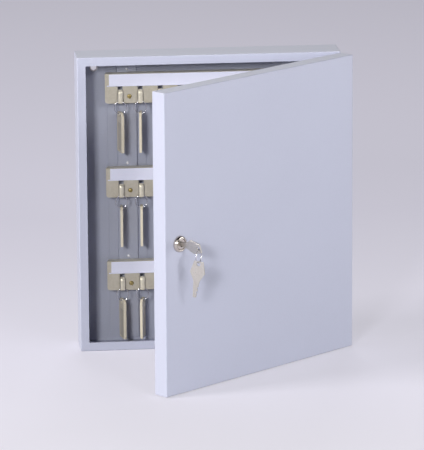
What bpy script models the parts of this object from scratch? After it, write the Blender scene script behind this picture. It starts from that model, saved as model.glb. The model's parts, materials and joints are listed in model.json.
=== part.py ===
"""Sheet steel key cabinet with a hinged door, a cam lock and three rows of key hooks.

Metres, +Z up. The origin is the middle of the case's underside. +X is to the right as the
door is faced, +Y runs back to the wall. The door is drawn part open, as it is kept at rest.
"""

import math

import bmesh
import bpy
from mathutils import Matrix

# Clearances shared by all pieces
GAP = 0.0003
OVERRUN = 0.002

# Case: a folded frame of sheet with a back panel let into it
CASE_W = 0.350
CASE_H = 0.400
CASE_D = 0.051
SHEET = 0.0008
BEND_R = 0.0014
CORNER_R = 0.0012
CASE_FLANGE = 0.0117
REAR_LIP = 0.010
HOLE_IN_X = 0.0254
HOLE_IN_Z = 0.0225

# Grommets of the two wall fixing holes
GROMMET_BORE_R = 0.0039
GROMMET_WALL = 0.0006
GROMMET_FLANGE_R = 0.0057
GROMMET_FRONT = 0.0010
GROMMET_REAR = 0.0006

# Rack inside: two hat section uprights behind three bars
RACK_SHIFT = 0.0042
UPRIGHT_IN = 0.0648
UPRIGHT_CROWN = 0.0268
UPRIGHT_RISE = 0.0048
UPRIGHT_FOOT = 0.0123
UPRIGHT_SHEET = 0.0010
UPRIGHT_BEND_R = 0.0015
UPRIGHT_END_GAP = 0.0060
PIP_R = 0.0021
PIP_RISE = 0.0015
PIP_ABOVE_BAR = 0.0037

# Key bars, each with ten hooks lanced out of its face
BAR_COUNT = 3
BAR_TOP_IN = 0.0284
BAR_FIRST_Z = 0.0754
BAR_HEIGHT = 0.0402
BAR_DEPTH = 0.0138
BAR_SHEET = 0.0008
BAR_BEND_R = 0.0014
BAR_LIP = 0.0090
BAR_CORNER_R = 0.0036
BAR_MITRE = 0.0033
HOOK_COUNT = 10
HOOK_IN = 0.05485
HOOK_END = 0.0201
HOOK_WIDTH = 0.0059
HOOK_FLOOR = 0.0012
HOOK_CHANNEL = 0.0052
HOOK_BEND_R = 0.0012
HOOK_KNEE_Z = 0.0159
HOOK_TIP_Z = 0.0189
HOOK_LEAN = 0.0024
WINDOW_TOP = 0.0242
WINDOW_SIDE = 0.0004

# White label strip on the upper half of each bar
LABEL_Z = 0.0232
LABEL_HEIGHT = 0.0162
LABEL_PLATE = 0.0006
LABEL_LIP = 0.0013
LABEL_LIP_OUT = 0.0007
LABEL_IN = 0.0022
LABEL_SHOULDER = 0.0032

# Screws and spacers that carry the bars on the uprights
SCREW_R = 0.0016
SCREW_HOLE_R = 0.0020
SCREW_HEAD_R = 0.0030
SCREW_HEAD = 0.0017
SCREW_HEAD_SHARES = ((0.62, 0.92), (0.92, 0.55))
SCREW_END = 0.0022
SCREW_Z = 0.0094
SCREW_OUTWARD = 0.0011
SPACER_R = 0.0036

# Key tags and their rings
TAG_RING_R = 0.0082
TAG_WIRE_R = 0.00055
TAG_W = 0.022
TAG_L = 0.0542
TAG_T = 0.0033
TAG_CHAMFER = 0.0042
TAG_CORNER_R = 0.0016
TAG_EYE_R = 0.0022
TAG_EYE_IN = 0.0038
TAG_EYE_PLAY = 0.00035
WINDOW_MARGIN = 0.0026
WINDOW_DROP = 0.0135
WINDOW_DEPTH = 0.0007
PAPER_T = 0.00035
TAG_TWIST_DEG = ((12.0, -6.5), (-4.5, -4.5), (12.5, -15.0))

# Hinges at the corner between case and door
DOOR_OPEN_DEG = 39.5
HINGE_INSET = 0.0001
HINGE_KNUCKLE_R = 0.0023
HINGE_BORE_R = 0.0015
HINGE_PIN_R = 0.0012
HINGE_HEAD_R = 0.0021
HINGE_HEAD = 0.0008
HINGE_LEAF_W = 0.0170
HINGE_H = 0.040
HINGE_END = 0.060
HINGE_PLAY = 0.00035

# Door pan
DOOR_GAP = 0.0004
DOOR_SIDE_GAP = 0.0002
DOOR_SHORT = 0.0012
DOOR_T = 0.0222
DOOR_RETURN = 0.0120

# Cam lock
LOCK_EDGE = 0.0246
LOCK_BARREL_R = 0.0088
LOCK_FLAT = 0.0078
LOCK_HEAD_R = 0.0107
LOCK_HEAD = 0.0042
LOCK_HEAD_ROUND = 0.0019
LOCK_FACE_R = 0.0080
LOCK_PLUG_R = 0.0060
LOCK_COLLAR_R = 0.0073
LOCK_COLLAR = 0.0020
LOCK_SINK = 0.0004
LOCK_CAM_GAP = 0.0014
WASHER_T = 0.0008
WASHER_R = 0.0124
NUT_T = 0.0040
NUT_FLATS = 0.0220
NUT_ROUND = 0.0004
TAIL_SIDE = 0.0064
CAM_T = 0.0020
CAM_LENGTH = 0.0212
CAM_WIDTH = 0.0140
CAM_TIP_R = 0.0030
CAM_SCREW_R = 0.0015
CAM_SCREW_HEAD_R = 0.0040
CAM_SCREW_HEAD = 0.0018
CAM_SCREW_DEPTH = 0.0070

# Keys
KEY_T = 0.0019
KEY_BOW_L = 0.0250
KEY_BOW_W = 0.0200
KEY_BOW_WAIST = 0.0150
KEY_BOW_END_W = 0.0123
KEY_NECK_W = 0.0092
KEY_BLADE_W = 0.0077
KEY_TIP_W = 0.0048
KEY_BLADE_L = 0.0230
KEY_GROOVE_W = 0.0018
KEY_GROOVE = 0.0005
KEY_EYE_R = 0.0027
KEY_EYE_IN = 0.0037
KEY_OUT = 0.0388
KEY_BIT_DEPTHS = (0.0010, 0.0016, 0.0006, 0.0013, 0.0008)
KEY_BIT_PITCH = 0.0030
KEY_BIT_FLAT = 0.0009
KEY_BIT_START = 0.0042
KEYWAY_PLAY = 0.0003
KEY_ROLL_DEG = -19.4
KEY_RING_R = 0.0088
KEY_WIRE_R = 0.0006
KEY_RING_TURN_DEG = 25.0
SPARE_TILT_DEG = 7.8

# Facet counts
BEND_STEPS = 3
CORNER_STEPS = 2
ROUND = 28
ROUND_SMALL = 16
RING_STEPS = 24
WIRE_STEPS = 6
ARC_STEPS = 3
SMOOTH_DEG = 32.0

# Places that follow from the sizes
FRONT_Y = -CASE_D / 2
REAR_Y = CASE_D / 2
PANEL_REAR_Y = REAR_Y - SHEET - GAP
PANEL_FRONT_Y = PANEL_REAR_Y - SHEET
CROWN_Y = PANEL_FRONT_Y - GAP - UPRIGHT_RISE
BAR_FRONT_Y = CROWN_Y - GAP - BAR_DEPTH
HOOK_PITCH = (CASE_W - 2 * HOOK_IN) / (HOOK_COUNT - 1)
BAR_W = HOOK_PITCH * (HOOK_COUNT - 1) + 2 * HOOK_END
BAR_PITCH = (CASE_H - BAR_TOP_IN - BAR_HEIGHT - BAR_FIRST_Z) / (BAR_COUNT - 1)
BAR_ZS = tuple(BAR_FIRST_Z + BAR_PITCH * row for row in range(BAR_COUNT))
ROW_NAMES = ("bottom", "middle", "top")
SIDES = ((-1, "left"), (1, "right"))
SCREW_X = BAR_W / 2 - HOOK_END - HOOK_PITCH / 2 + SCREW_OUTWARD
UPRIGHT_X = CASE_W / 2 - UPRIGHT_IN
HINGE_X = CASE_W / 2
HINGE_Y = FRONT_Y - HINGE_INSET
DOOR_W = CASE_W - 2 * DOOR_SIDE_GAP
DOOR_H = CASE_H - 2 * DOOR_SHORT
HINGE_LEAF_T = HINGE_KNUCKLE_R - DOOR_SIDE_GAP - SHEET - GAP
LOCK_X = -DOOR_SIDE_GAP - DOOR_W + LOCK_EDGE
LOCK_Y = -DOOR_GAP - DOOR_T
LOCK_END = DOOR_T + DOOR_GAP + HINGE_INSET + SHEET + LOCK_CAM_GAP - GAP


def arc(centre, radius, start_deg, end_deg, steps):
    """Points of an arc, both ends included."""
    points = []
    for step in range(steps + 1):
        angle = math.radians(start_deg + (end_deg - start_deg) * step / steps)
        points.append((centre[0] + radius * math.cos(angle), centre[1] + radius * math.sin(angle)))
    return points


def circle(radius, steps, centre=(0, 0)):
    """Points of a full circle, without a repeated end."""
    return arc(centre, radius, 0, 360, steps)[:-1]


def rolled(outline, degrees):
    """Outline turned in its own plane, as a turn about +Y does to points of the XZ plane."""
    cosine = math.cos(math.radians(degrees))
    sine = math.sin(math.radians(degrees))
    return [(u * cosine + v * sine, v * cosine - u * sine) for u, v in outline]


def rounded_box(low, high, radii, steps):
    """Outline of a box with its own corner radius at low-low, high-low, high-high, low-high."""
    corners = (
        ((low[0], low[1]), (1, 1), 180),
        ((high[0], low[1]), (-1, 1), 270),
        ((high[0], high[1]), (-1, -1), 0),
        ((low[0], high[1]), (1, -1), 90),
    )
    points = []
    for (corner, inward, start), radius in zip(corners, radii):
        if radius == 0:
            points.append(corner)
            continue
        centre = (corner[0] + inward[0] * radius, corner[1] + inward[1] * radius)
        points += arc(centre, radius, start, start + 90, steps)
    return points


def folded(path, sheet, bend_r):
    """Outline of bent sheet that lies to the right of a path, with an outer radius at each bend."""
    near = []
    far = []
    last = len(path) - 1
    for i, (u, v) in enumerate(path):
        behind = path[max(i - 1, 0)]
        ahead = path[min(i + 1, last)]
        before = math.atan2(v - behind[1], u - behind[0])
        after = math.atan2(ahead[1] - v, ahead[0] - u)
        if i in (0, last):
            way = after if i == 0 else before
            near.append((u, v))
            far.append((u + sheet * math.sin(way), v - sheet * math.cos(way)))
            continue
        turn = math.remainder(after - before, math.tau)
        side = 1 if turn < 0 else -1
        near_r = bend_r if side > 0 else bend_r - sheet
        far_r = bend_r - sheet if side > 0 else bend_r
        back = near_r * math.tan(abs(turn) / 2)
        centre_u = u - back * math.cos(before) + side * near_r * math.sin(before)
        centre_v = v - back * math.sin(before) - side * near_r * math.cos(before)
        start = math.degrees(before) + 90 * side
        near += arc((centre_u, centre_v), near_r, start, start + math.degrees(turn), BEND_STEPS)
        far += arc((centre_u, centre_v), far_r, start, start + math.degrees(turn), BEND_STEPS)
    return near + far[::-1]


def finished(bm):
    """Mesh of a bmesh, with its faces turned outwards."""
    bmesh.ops.recalc_face_normals(bm, faces=bm.faces)
    mesh = bpy.data.meshes.new("shape")
    bm.to_mesh(mesh)
    bm.free()
    return mesh


def prism(outline, low, high, axis):
    """Solid of a flat outline carried along an axis: outline is YZ for X, XZ for Y, XY for Z."""
    place = {
        "X": lambda u, v, w: (w, u, v),
        "Y": lambda u, v, w: (u, w, v),
        "Z": lambda u, v, w: (u, v, w),
    }[axis]
    bm = bmesh.new()
    base = bm.faces.new([bm.verts.new(place(u, v, low)) for u, v in outline])
    moved_part = bmesh.ops.extrude_face_region(bm, geom=[base])
    tops = [item for item in moved_part["geom"] if isinstance(item, bmesh.types.BMVert)]
    bmesh.ops.translate(bm, verts=tops, vec=place(0, 0, high - low))
    return finished(bm)


def block(low, high):
    """Rectangular solid between two corners."""
    outline = ((low[0], low[1]), (high[0], low[1]), (high[0], high[1]), (low[0], high[1]))
    return prism(outline, low[2], high[2], "Z")


def turned(profile, steps, axis="Y"):
    """Solid of a closed profile of (radius, place along the axis), spun about the axis."""
    bm = bmesh.new()
    verts = [bm.verts.new((radius, along, 0)) for radius, along in profile]
    edges = [bm.edges.new((verts[i - 1], verts[i])) for i in range(len(verts))]
    on_axis = [i for i, (radius, _) in enumerate(profile) if radius == 0]
    if len(on_axis) == 2 and {on_axis[1] - on_axis[0]} & {1, len(verts) - 1}:
        middle = next(edge for edge in edges if all(vert.co.x == 0 for vert in edge.verts))
        edges.remove(middle)
        bm.edges.remove(middle)
    bmesh.ops.spin(
        bm, geom=verts + edges, cent=(0, 0, 0), axis=(0, 1, 0), angle=math.tau, steps=steps, use_merge=True
    )
    bmesh.ops.remove_doubles(bm, verts=bm.verts, dist=GAP / 1000)
    if axis == "Z":
        bmesh.ops.rotate(bm, verts=bm.verts, cent=(0, 0, 0), matrix=Matrix.Rotation(math.pi / 2, 3, "X"))
    return finished(bm)


def moved(mesh, offset):
    """The same mesh, shifted."""
    mesh.transform(Matrix.Translation(offset))
    return mesh


def gathered(meshes):
    """One mesh that holds several separate solids."""
    bm = bmesh.new()
    for mesh in meshes:
        bm.from_mesh(mesh)
    return finished(bm)


def combined(mesh, tool, operation):
    """What is left when a tool is cut out of a mesh, or joined to it."""
    body = bpy.data.objects.new("body", mesh)
    other = bpy.data.objects.new("tool", tool)
    bpy.context.collection.objects.link(body)
    bpy.context.collection.objects.link(other)
    modifier = body.modifiers.new("combine", "BOOLEAN")
    modifier.operation = operation
    modifier.solver = "EXACT"
    modifier.object = other
    graph = bpy.context.evaluated_depsgraph_get()
    result = bpy.data.meshes.new_from_object(body.evaluated_get(graph))
    bpy.data.objects.remove(body)
    bpy.data.objects.remove(other)
    return result


def cut(mesh, tool):
    """Mesh with a tool cut out of it."""
    return combined(mesh, tool, "DIFFERENCE")


def joined(mesh, tool):
    """Mesh with a second shape made one with it."""
    return combined(mesh, tool, "UNION")


def swept_frame(profile, low, high, capped):
    """Sheet folded round a rectangle: each profile point is (inset from the edge, y).

    A closed profile makes a ring. A capped one starts and ends in a flat plate, as a pan does.
    """
    bm = bmesh.new()
    loops = []
    for inset, y in profile:
        corner_low = (low[0] + inset, low[1] + inset)
        corner_high = (high[0] - inset, high[1] - inset)
        outline = rounded_box(corner_low, corner_high, (CORNER_R,) * 4, CORNER_STEPS)
        loops.append([bm.verts.new((x, y, z)) for x, z in outline])
    count = len(loops[0])
    pairs = list(zip(loops, loops[1:]))
    if capped:
        bm.faces.new(loops[0])
        bm.faces.new(loops[-1])
    else:
        pairs.append((loops[-1], loops[0]))
    for first, second in pairs:
        for i in range(count):
            j = (i + 1) % count
            bm.faces.new((first[i], first[j], second[j], second[i]))
    return finished(bm)


def material(name, colour, roughness, metallic):
    """Principled material with a plain colour."""
    made = bpy.data.materials.new(name)
    made.use_nodes = True
    shader = made.node_tree.nodes["Principled BSDF"]
    shader.inputs["Base Color"].default_value = (*colour, 1.0)
    shader.inputs["Roughness"].default_value = roughness
    shader.inputs["Metallic"].default_value = metallic
    return made


def node(name, mesh, finish, parent=None, place=(0, 0, 0), turn=(0, 0, 0)):
    """Named object of the model, smooth where its facets meet at a low angle."""
    mesh.name = name
    mesh.materials.clear()
    mesh.materials.append(finish)
    mesh.shade_smooth()
    mesh.set_sharp_from_angle(angle=math.radians(SMOOTH_DEG))
    made = bpy.data.objects.new(name, mesh)
    made.location = place
    made.rotation_euler = turn
    made.parent = parent
    bpy.context.collection.objects.link(made)
    return made


def pivot(name, place, parent=None, turn=(0, 0, 0)):
    """Empty on a joint's axis, which carries the pieces that move there."""
    made = bpy.data.objects.new(name, None)
    made.empty_display_size = CASE_D / 2
    made.location = place
    made.rotation_euler = turn
    made.parent = parent
    bpy.context.collection.objects.link(made)
    return made


def hinge_zs():
    """Lowest height of each hinge."""
    return (HINGE_END, CASE_H - HINGE_END - HINGE_H)


def hinge_notches(x, y, side):
    """Blocks that clear the knuckles out of a corner; side is 1 behind the axis, -1 before it."""
    reach = HINGE_KNUCKLE_R + HINGE_PLAY
    y_low, y_high = sorted((y - side * OVERRUN, y + side * reach))
    notches = []
    for z in hinge_zs():
        low = (x - reach, y_low, z - HINGE_PLAY - HINGE_HEAD - GAP)
        high = (x + reach, y_high, z + HINGE_H + HINGE_PLAY + HINGE_HEAD + GAP)
        notches.append(block(low, high))
    return gathered(notches)


def case_frame():
    """Four walls folded from one strip, with the front flange and the lip at the wall."""
    front_arc = arc((BEND_R, FRONT_Y + BEND_R), BEND_R, 270, 180, BEND_STEPS)
    rear_arc = arc((BEND_R, REAR_Y - BEND_R), BEND_R, 180, 90, BEND_STEPS)
    profile = [(CASE_FLANGE, FRONT_Y)] + front_arc + rear_arc + [
        (REAR_LIP, REAR_Y),
        (REAR_LIP, REAR_Y - SHEET),
        (SHEET, REAR_Y - SHEET),
        (SHEET, FRONT_Y + SHEET),
        (CASE_FLANGE, FRONT_Y + SHEET),
    ]
    frame = swept_frame(profile, (-CASE_W / 2, 0), (CASE_W / 2, CASE_H), capped=False)
    return cut(frame, hinge_notches(HINGE_X, HINGE_Y, 1))


def fixing_xs():
    """Places of the two wall fixing holes across the back."""
    return (-CASE_W / 2 + HOLE_IN_X, CASE_W / 2 - HOLE_IN_X)


def case_back():
    """Back panel inside the rear lip, with its two fixing holes."""
    inset = SHEET + GAP
    outline = rounded_box(
        (-CASE_W / 2 + inset, inset), (CASE_W / 2 - inset, CASE_H - inset), (CORNER_R,) * 4, CORNER_STEPS
    )
    panel = prism(outline, PANEL_FRONT_Y, PANEL_REAR_Y, "Y")
    hole_r = GROMMET_BORE_R + GROMMET_WALL + GAP
    holes = []
    for x in fixing_xs():
        outline = circle(hole_r, ROUND, (x, CASE_H - HOLE_IN_Z))
        holes.append(prism(outline, PANEL_FRONT_Y - OVERRUN, PANEL_REAR_Y + OVERRUN, "Y"))
    return cut(panel, gathered(holes))


def fixing_grommet():
    """Plastic grommet that lines a fixing hole, with a flange on each side of the panel."""
    neck = GROMMET_BORE_R + GROMMET_WALL
    front = PANEL_FRONT_Y - GAP
    rear = PANEL_REAR_Y + GAP / 2
    profile = (
        (GROMMET_BORE_R, front - GROMMET_FRONT + GROMMET_WALL / 2),
        (GROMMET_BORE_R + GROMMET_WALL / 2, front - GROMMET_FRONT),
        (GROMMET_FLANGE_R - GROMMET_WALL, front - GROMMET_FRONT),
        (GROMMET_FLANGE_R, front - GROMMET_FRONT + GROMMET_WALL),
        (GROMMET_FLANGE_R, front),
        (neck, front),
        (neck, rear),
        (GROMMET_FLANGE_R - GROMMET_WALL / 2, rear),
        (GROMMET_FLANGE_R - GROMMET_WALL / 2, rear + GROMMET_REAR),
        (GROMMET_BORE_R, rear + GROMMET_REAR),
    )
    return turned(profile, ROUND)


def upright():
    """Hat section rail, with a locating pip above each bar and a hole for each bar's screw."""
    crown = UPRIGHT_CROWN / 2
    foot = crown + UPRIGHT_FOOT
    rear = CROWN_Y + UPRIGHT_RISE
    web = UPRIGHT_SHEET
    path = (
        (foot, rear - web), (crown, rear - web), (crown, CROWN_Y),
        (-crown, CROWN_Y), (-crown, rear - web), (-foot, rear - web),
    )
    low = SHEET + UPRIGHT_END_GAP
    rail = prism(folded(path, web, UPRIGHT_BEND_R), low, CASE_H - low, "Z")
    dome = [(0, -PIP_RISE), (PIP_R / 2, -PIP_RISE * math.sqrt(3) / 2), (PIP_R, 0)]
    dome += [(PIP_R, web / 2), (0, web / 2)]
    pips = []
    for bar_z in BAR_ZS:
        pips.append(moved(turned(dome, ROUND_SMALL), (0, CROWN_Y, bar_z + BAR_HEIGHT + PIP_ABOVE_BAR)))
    return joined(rail, gathered(pips))


def upright_holes(side):
    """Screw holes of one upright, which lie off its middle where the bars' screws are."""
    x = side * (SCREW_X - UPRIGHT_X)
    holes = []
    for bar_z in BAR_ZS:
        outline = circle(SCREW_HOLE_R, ROUND_SMALL, (x, bar_z + SCREW_Z))
        holes.append(prism(outline, CROWN_Y - OVERRUN, CROWN_Y + UPRIGHT_SHEET + OVERRUN, "Y"))
    return gathered(holes)


def hook_xs():
    """Places of the hooks along a bar."""
    return [-BAR_W / 2 + HOOK_END + HOOK_PITCH * i for i in range(HOOK_COUNT)]


def hook_strips():
    """Tongues lanced out of the bar's face: forward, up, and leaning back at the tip."""
    sheet = BAR_SHEET
    bend = (-HOOK_CHANNEL + HOOK_BEND_R, HOOK_FLOOR + HOOK_BEND_R)
    tip = (-HOOK_CHANNEL + HOOK_LEAN, HOOK_TIP_Z)
    lean = math.atan2(HOOK_LEAN, HOOK_TIP_Z - HOOK_KNEE_Z)
    outer_tip = (tip[0] - sheet * math.cos(lean), tip[1] + sheet * math.sin(lean))
    knee_drop = sheet * math.tan(lean / 2)
    outline = [(sheet / 2, HOOK_FLOOR - sheet)]
    outline += arc(bend, HOOK_BEND_R + sheet, 270, 180, ARC_STEPS)
    outline += [(-HOOK_CHANNEL - sheet, HOOK_KNEE_Z + knee_drop), outer_tip, tip]
    outline += [(-HOOK_CHANNEL, HOOK_KNEE_Z)]
    outline += arc(bend, HOOK_BEND_R, 180, 270, ARC_STEPS)
    outline += [(sheet / 2, HOOK_FLOOR)]
    return gathered([prism(outline, x - HOOK_WIDTH / 2, x + HOOK_WIDTH / 2, "X") for x in hook_xs()])


def bar_cuts():
    """What is cut from a bar: hook windows, screw holes, round lower corners, mitred top ends."""
    end = BAR_W / 2
    cuts = []
    side = HOOK_WIDTH / 2 + WINDOW_SIDE
    for x in hook_xs():
        low = (x - side, -OVERRUN, HOOK_FLOOR + GAP)
        high = (x + side, BAR_SHEET + OVERRUN, WINDOW_TOP)
        cuts.append(block(low, high))
    for x in (-SCREW_X, SCREW_X):
        hole = circle(SCREW_HOLE_R, ROUND_SMALL, (x, SCREW_Z))
        cuts.append(prism(hole, -OVERRUN, BAR_SHEET + OVERRUN, "Y"))
    for sign in (-1, 1):
        centre = (sign * (end - BAR_CORNER_R), BAR_CORNER_R)
        turn = (180, 270) if sign < 0 else (360, 270)
        corner = arc(centre, BAR_CORNER_R, *turn, ARC_STEPS)
        beyond = sign * (end + OVERRUN)
        corner += [(centre[0], -OVERRUN), (beyond, -OVERRUN), (beyond, BAR_CORNER_R)]
        cuts.append(prism(corner, -OVERRUN, BAR_SHEET + OVERRUN, "Y"))
        reach = BAR_DEPTH + OVERRUN
        slope = BAR_MITRE / (BAR_DEPTH - BAR_SHEET)
        mitre = (
            (sign * end, BAR_SHEET),
            (sign * (end + OVERRUN), BAR_SHEET),
            (sign * (end + OVERRUN), reach),
            (sign * (end - slope * (reach - BAR_SHEET)), reach),
        )
        cuts.append(prism(mitre, BAR_HEIGHT - BAR_LIP - OVERRUN, BAR_HEIGHT + OVERRUN, "Z"))
    return gathered(cuts)


def key_bar():
    """Folded bar: face, top flange and rear lip, with its ten hooks. Origin: face, bottom edge."""
    path = ((0, 0), (0, BAR_HEIGHT), (BAR_DEPTH, BAR_HEIGHT), (BAR_DEPTH, BAR_HEIGHT - BAR_LIP))
    bar = cut(prism(folded(path, BAR_SHEET, BAR_BEND_R), -BAR_W / 2, BAR_W / 2, "X"), bar_cuts())
    return joined(bar, hook_strips())


def label_strip():
    """White strip on the bar's face, with a lip along its lower edge that runs on past its ends."""
    end = BAR_W / 2 - LABEL_IN
    rear = -GAP
    plate = block(
        (-end + LABEL_SHOULDER, rear - LABEL_PLATE, LABEL_Z + LABEL_LIP / 2),
        (end - LABEL_SHOULDER, rear, LABEL_Z + LABEL_HEIGHT),
    )
    lip = block((-end, rear - LABEL_PLATE - LABEL_LIP_OUT, LABEL_Z), (end, rear, LABEL_Z + LABEL_LIP))
    return joined(lip, plate)


def bar_screw():
    """Pan head screw of a bar. Origin: its axis at the bar's face."""
    head = -GAP
    profile = [(0, head - SCREW_HEAD)]
    profile += [(SCREW_HEAD_R * out, head - SCREW_HEAD * up) for out, up in SCREW_HEAD_SHARES]
    profile += [(SCREW_HEAD_R, head), (SCREW_R, head)]
    end = BAR_DEPTH + GAP + UPRIGHT_SHEET + SCREW_END
    profile += [(SCREW_R, end - SCREW_R / 2), (SCREW_R / 2, end), (0, end)]
    return turned(profile, ROUND_SMALL)


def bar_spacer():
    """Tube that holds a bar's face off an upright. Origin: its axis at the bar's face."""
    front = BAR_SHEET + GAP
    rear = BAR_DEPTH
    profile = ((SCREW_HOLE_R, front), (SPACER_R, front), (SPACER_R, rear), (SCREW_HOLE_R, rear))
    return turned(profile, ROUND_SMALL)


def wire_ring(radius, wire_r):
    """Round wire ring that hangs from its top point, flat to the XZ plane."""
    profile = [(radius + u, v) for u, v in circle(wire_r, WIRE_STEPS)]
    return moved(turned(profile, RING_STEPS), (0, 0, -radius))


def tag_ring_place(row, column):
    """Top point of a tag's ring, in the trough of its hook."""
    inner = TAG_RING_R - TAG_WIRE_R
    sag = inner - math.sqrt(inner ** 2 - (HOOK_WIDTH / 2) ** 2)
    x = RACK_SHIFT + hook_xs()[column]
    z = BAR_ZS[row] + HOOK_FLOOR + GAP + sag + TAG_WIRE_R
    return (x, BAR_FRONT_Y - HOOK_CHANNEL / 2, z)


def tag_top():
    """Height of a tag's upper end above the wire that it hangs on."""
    return TAG_EYE_IN - (TAG_EYE_R - TAG_WIRE_R - TAG_EYE_PLAY)


def tag_window():
    """Lower and upper corner of the label window, in the tag's own YZ plane."""
    top = tag_top()
    side = TAG_W / 2 - WINDOW_MARGIN
    return (-side, top - TAG_L + WINDOW_MARGIN), (side, top - WINDOW_DROP)


def key_tag():
    """Plastic tag with a clipped head, an eye and a sunk window on each face."""
    top = tag_top()
    low = top - TAG_L
    half = TAG_W / 2
    radius = TAG_CORNER_R
    outline = arc((-half + radius, low + radius), radius, 180, 270, CORNER_STEPS)
    outline += arc((half - radius, low + radius), radius, 270, 360, CORNER_STEPS)
    outline += [(half, top - TAG_CHAMFER), (half - TAG_CHAMFER, top)]
    outline += [(-half + TAG_CHAMFER, top), (-half, top - TAG_CHAMFER)]
    body = prism(outline, -TAG_T / 2, TAG_T / 2, "X")
    eye = prism(circle(TAG_EYE_R, ROUND_SMALL, (0, top - TAG_EYE_IN)), -TAG_T, TAG_T, "X")
    (y0, z0), (y1, z1) = tag_window()
    floor = TAG_T / 2 - WINDOW_DEPTH
    windows = [block((-TAG_T, y0, z0), (-floor, y1, z1)), block((floor, y0, z0), (TAG_T, y1, z1))]
    return cut(body, gathered([eye] + windows))


def tag_label():
    """Paper label in the tag's left window."""
    (y0, z0), (y1, z1) = tag_window()
    floor = TAG_T / 2 - WINDOW_DEPTH
    low = (-floor - GAP - PAPER_T, y0 + GAP, z0 + GAP)
    return block(low, (-floor - GAP, y1 - GAP, z1 - GAP))


def hinge_leaf(side, outer_knuckles):
    """Rolled leaf on the hinge axis; side is 1 for the case's leaf, -1 for the door's."""
    third = HINGE_H / 3
    clear = HINGE_KNUCKLE_R + HINGE_PLAY
    outline = [(-HINGE_KNUCKLE_R, HINGE_LEAF_W), (-HINGE_KNUCKLE_R, 0)]
    outline += arc((0, 0), HINGE_KNUCKLE_R, 180, 480, ROUND_SMALL)[1:]
    join_y = math.sqrt(HINGE_KNUCKLE_R ** 2 - (HINGE_KNUCKLE_R - HINGE_LEAF_T) ** 2)
    outline += [(-HINGE_KNUCKLE_R + HINGE_LEAF_T, join_y), (-HINGE_KNUCKLE_R + HINGE_LEAF_T, HINGE_LEAF_W)]
    outline = [(x, side * y) for x, y in outline]
    leaf = prism(outline, 0, HINGE_H, "Z")
    bore = prism(circle(HINGE_BORE_R, ROUND_SMALL), -OVERRUN, HINGE_H + OVERRUN, "Z")
    zones = [(third, 2 * third)] if outer_knuckles else [(-OVERRUN, third), (2 * third, HINGE_H + OVERRUN)]
    y_low, y_high = sorted((-side * (HINGE_KNUCKLE_R + OVERRUN), side * clear))
    gaps = []
    for z_low, z_high in zones:
        slack = GAP / 2
        low = (-HINGE_KNUCKLE_R - OVERRUN, y_low, z_low - slack)
        gaps.append(block(low, (HINGE_KNUCKLE_R + OVERRUN, y_high, z_high + slack)))
    return cut(cut(leaf, bore), gathered(gaps))


def hinge_pin():
    """Pin with a set head at each end of the knuckles."""
    low = -GAP / 2
    high = HINGE_H + GAP / 2
    profile = (
        (0, low - HINGE_HEAD), (HINGE_HEAD_R - HINGE_HEAD / 2, low - HINGE_HEAD),
        (HINGE_HEAD_R, low - HINGE_HEAD / 2), (HINGE_HEAD_R, low), (HINGE_PIN_R, low),
        (HINGE_PIN_R, high), (HINGE_HEAD_R, high), (HINGE_HEAD_R, high + HINGE_HEAD / 2),
        (HINGE_HEAD_R - HINGE_HEAD / 2, high + HINGE_HEAD), (0, high + HINGE_HEAD),
    )
    return turned(profile, ROUND_SMALL, axis="Z")


def lock_outline(radius, flat):
    """Round outline with a flat on each side, as a lock barrel has."""
    angle = math.degrees(math.acos(flat / radius))
    upper = arc((0, 0), radius, angle, 180 - angle, ROUND_SMALL // 2)
    lower = arc((0, 0), radius, 180 + angle, 360 - angle, ROUND_SMALL // 2)
    return upper + lower


def door_panel():
    """Door pan with a return along all four edges, open at the back. Origin: hinge axis, floor."""
    back = -DOOR_GAP
    front = back - DOOR_T
    front_arc = arc((BEND_R, front + BEND_R), BEND_R, 270, 180, BEND_STEPS)
    back_arc = arc((BEND_R, back - BEND_R), BEND_R, 180, 90, BEND_STEPS)
    profile = front_arc + back_arc + [
        (DOOR_RETURN, back),
        (DOOR_RETURN, back - SHEET),
        (SHEET, back - SHEET),
        (SHEET, front + SHEET),
    ]
    low = (-DOOR_SIDE_GAP - DOOR_W, DOOR_SHORT)
    high = (-DOOR_SIDE_GAP, DOOR_SHORT + DOOR_H)
    pan = swept_frame(profile, low, high, capped=True)
    hole = prism(lock_outline(LOCK_BARREL_R + GAP, LOCK_FLAT + GAP), front - OVERRUN, front + OVERRUN, "Y")
    cuts = [hinge_notches(0, 0, -1), moved(hole, (LOCK_X, 0, CASE_H / 2))]
    return cut(pan, gathered(cuts))


def lock_housing():
    """Lock barrel with a round bezel. Origin: lock axis, door's front face; y is negative outwards."""
    bore_r = LOCK_PLUG_R + GAP
    under = -GAP
    face = -LOCK_HEAD
    rim = arc((LOCK_HEAD_R - LOCK_HEAD_ROUND, face + LOCK_HEAD_ROUND), LOCK_HEAD_ROUND, -90, 0, ARC_STEPS)
    head = turned([(0, face + GAP), (LOCK_FACE_R, face)] + rim + [(LOCK_HEAD_R, under), (0, under)], ROUND)
    barrel = prism(lock_outline(LOCK_BARREL_R, LOCK_FLAT), face / 2, LOCK_END, "Y")
    pocket_y = face + LOCK_SINK + LOCK_COLLAR + GAP
    core = turned(
        (
            (0, face - OVERRUN), (LOCK_COLLAR_R + GAP, face - OVERRUN), (LOCK_COLLAR_R + GAP, pocket_y),
            (bore_r, pocket_y), (bore_r, LOCK_END + OVERRUN), (0, LOCK_END + OVERRUN),
        ),
        ROUND,
    )
    return cut(joined(head, barrel), core)


def lock_washer():
    """Flat washer between the door's inner face and the nut."""
    front = SHEET + GAP
    bore = LOCK_BARREL_R + GAP
    rear = front + WASHER_T
    return turned(((bore, front), (WASHER_R, front), (WASHER_R, rear), (bore, rear)), ROUND)


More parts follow.
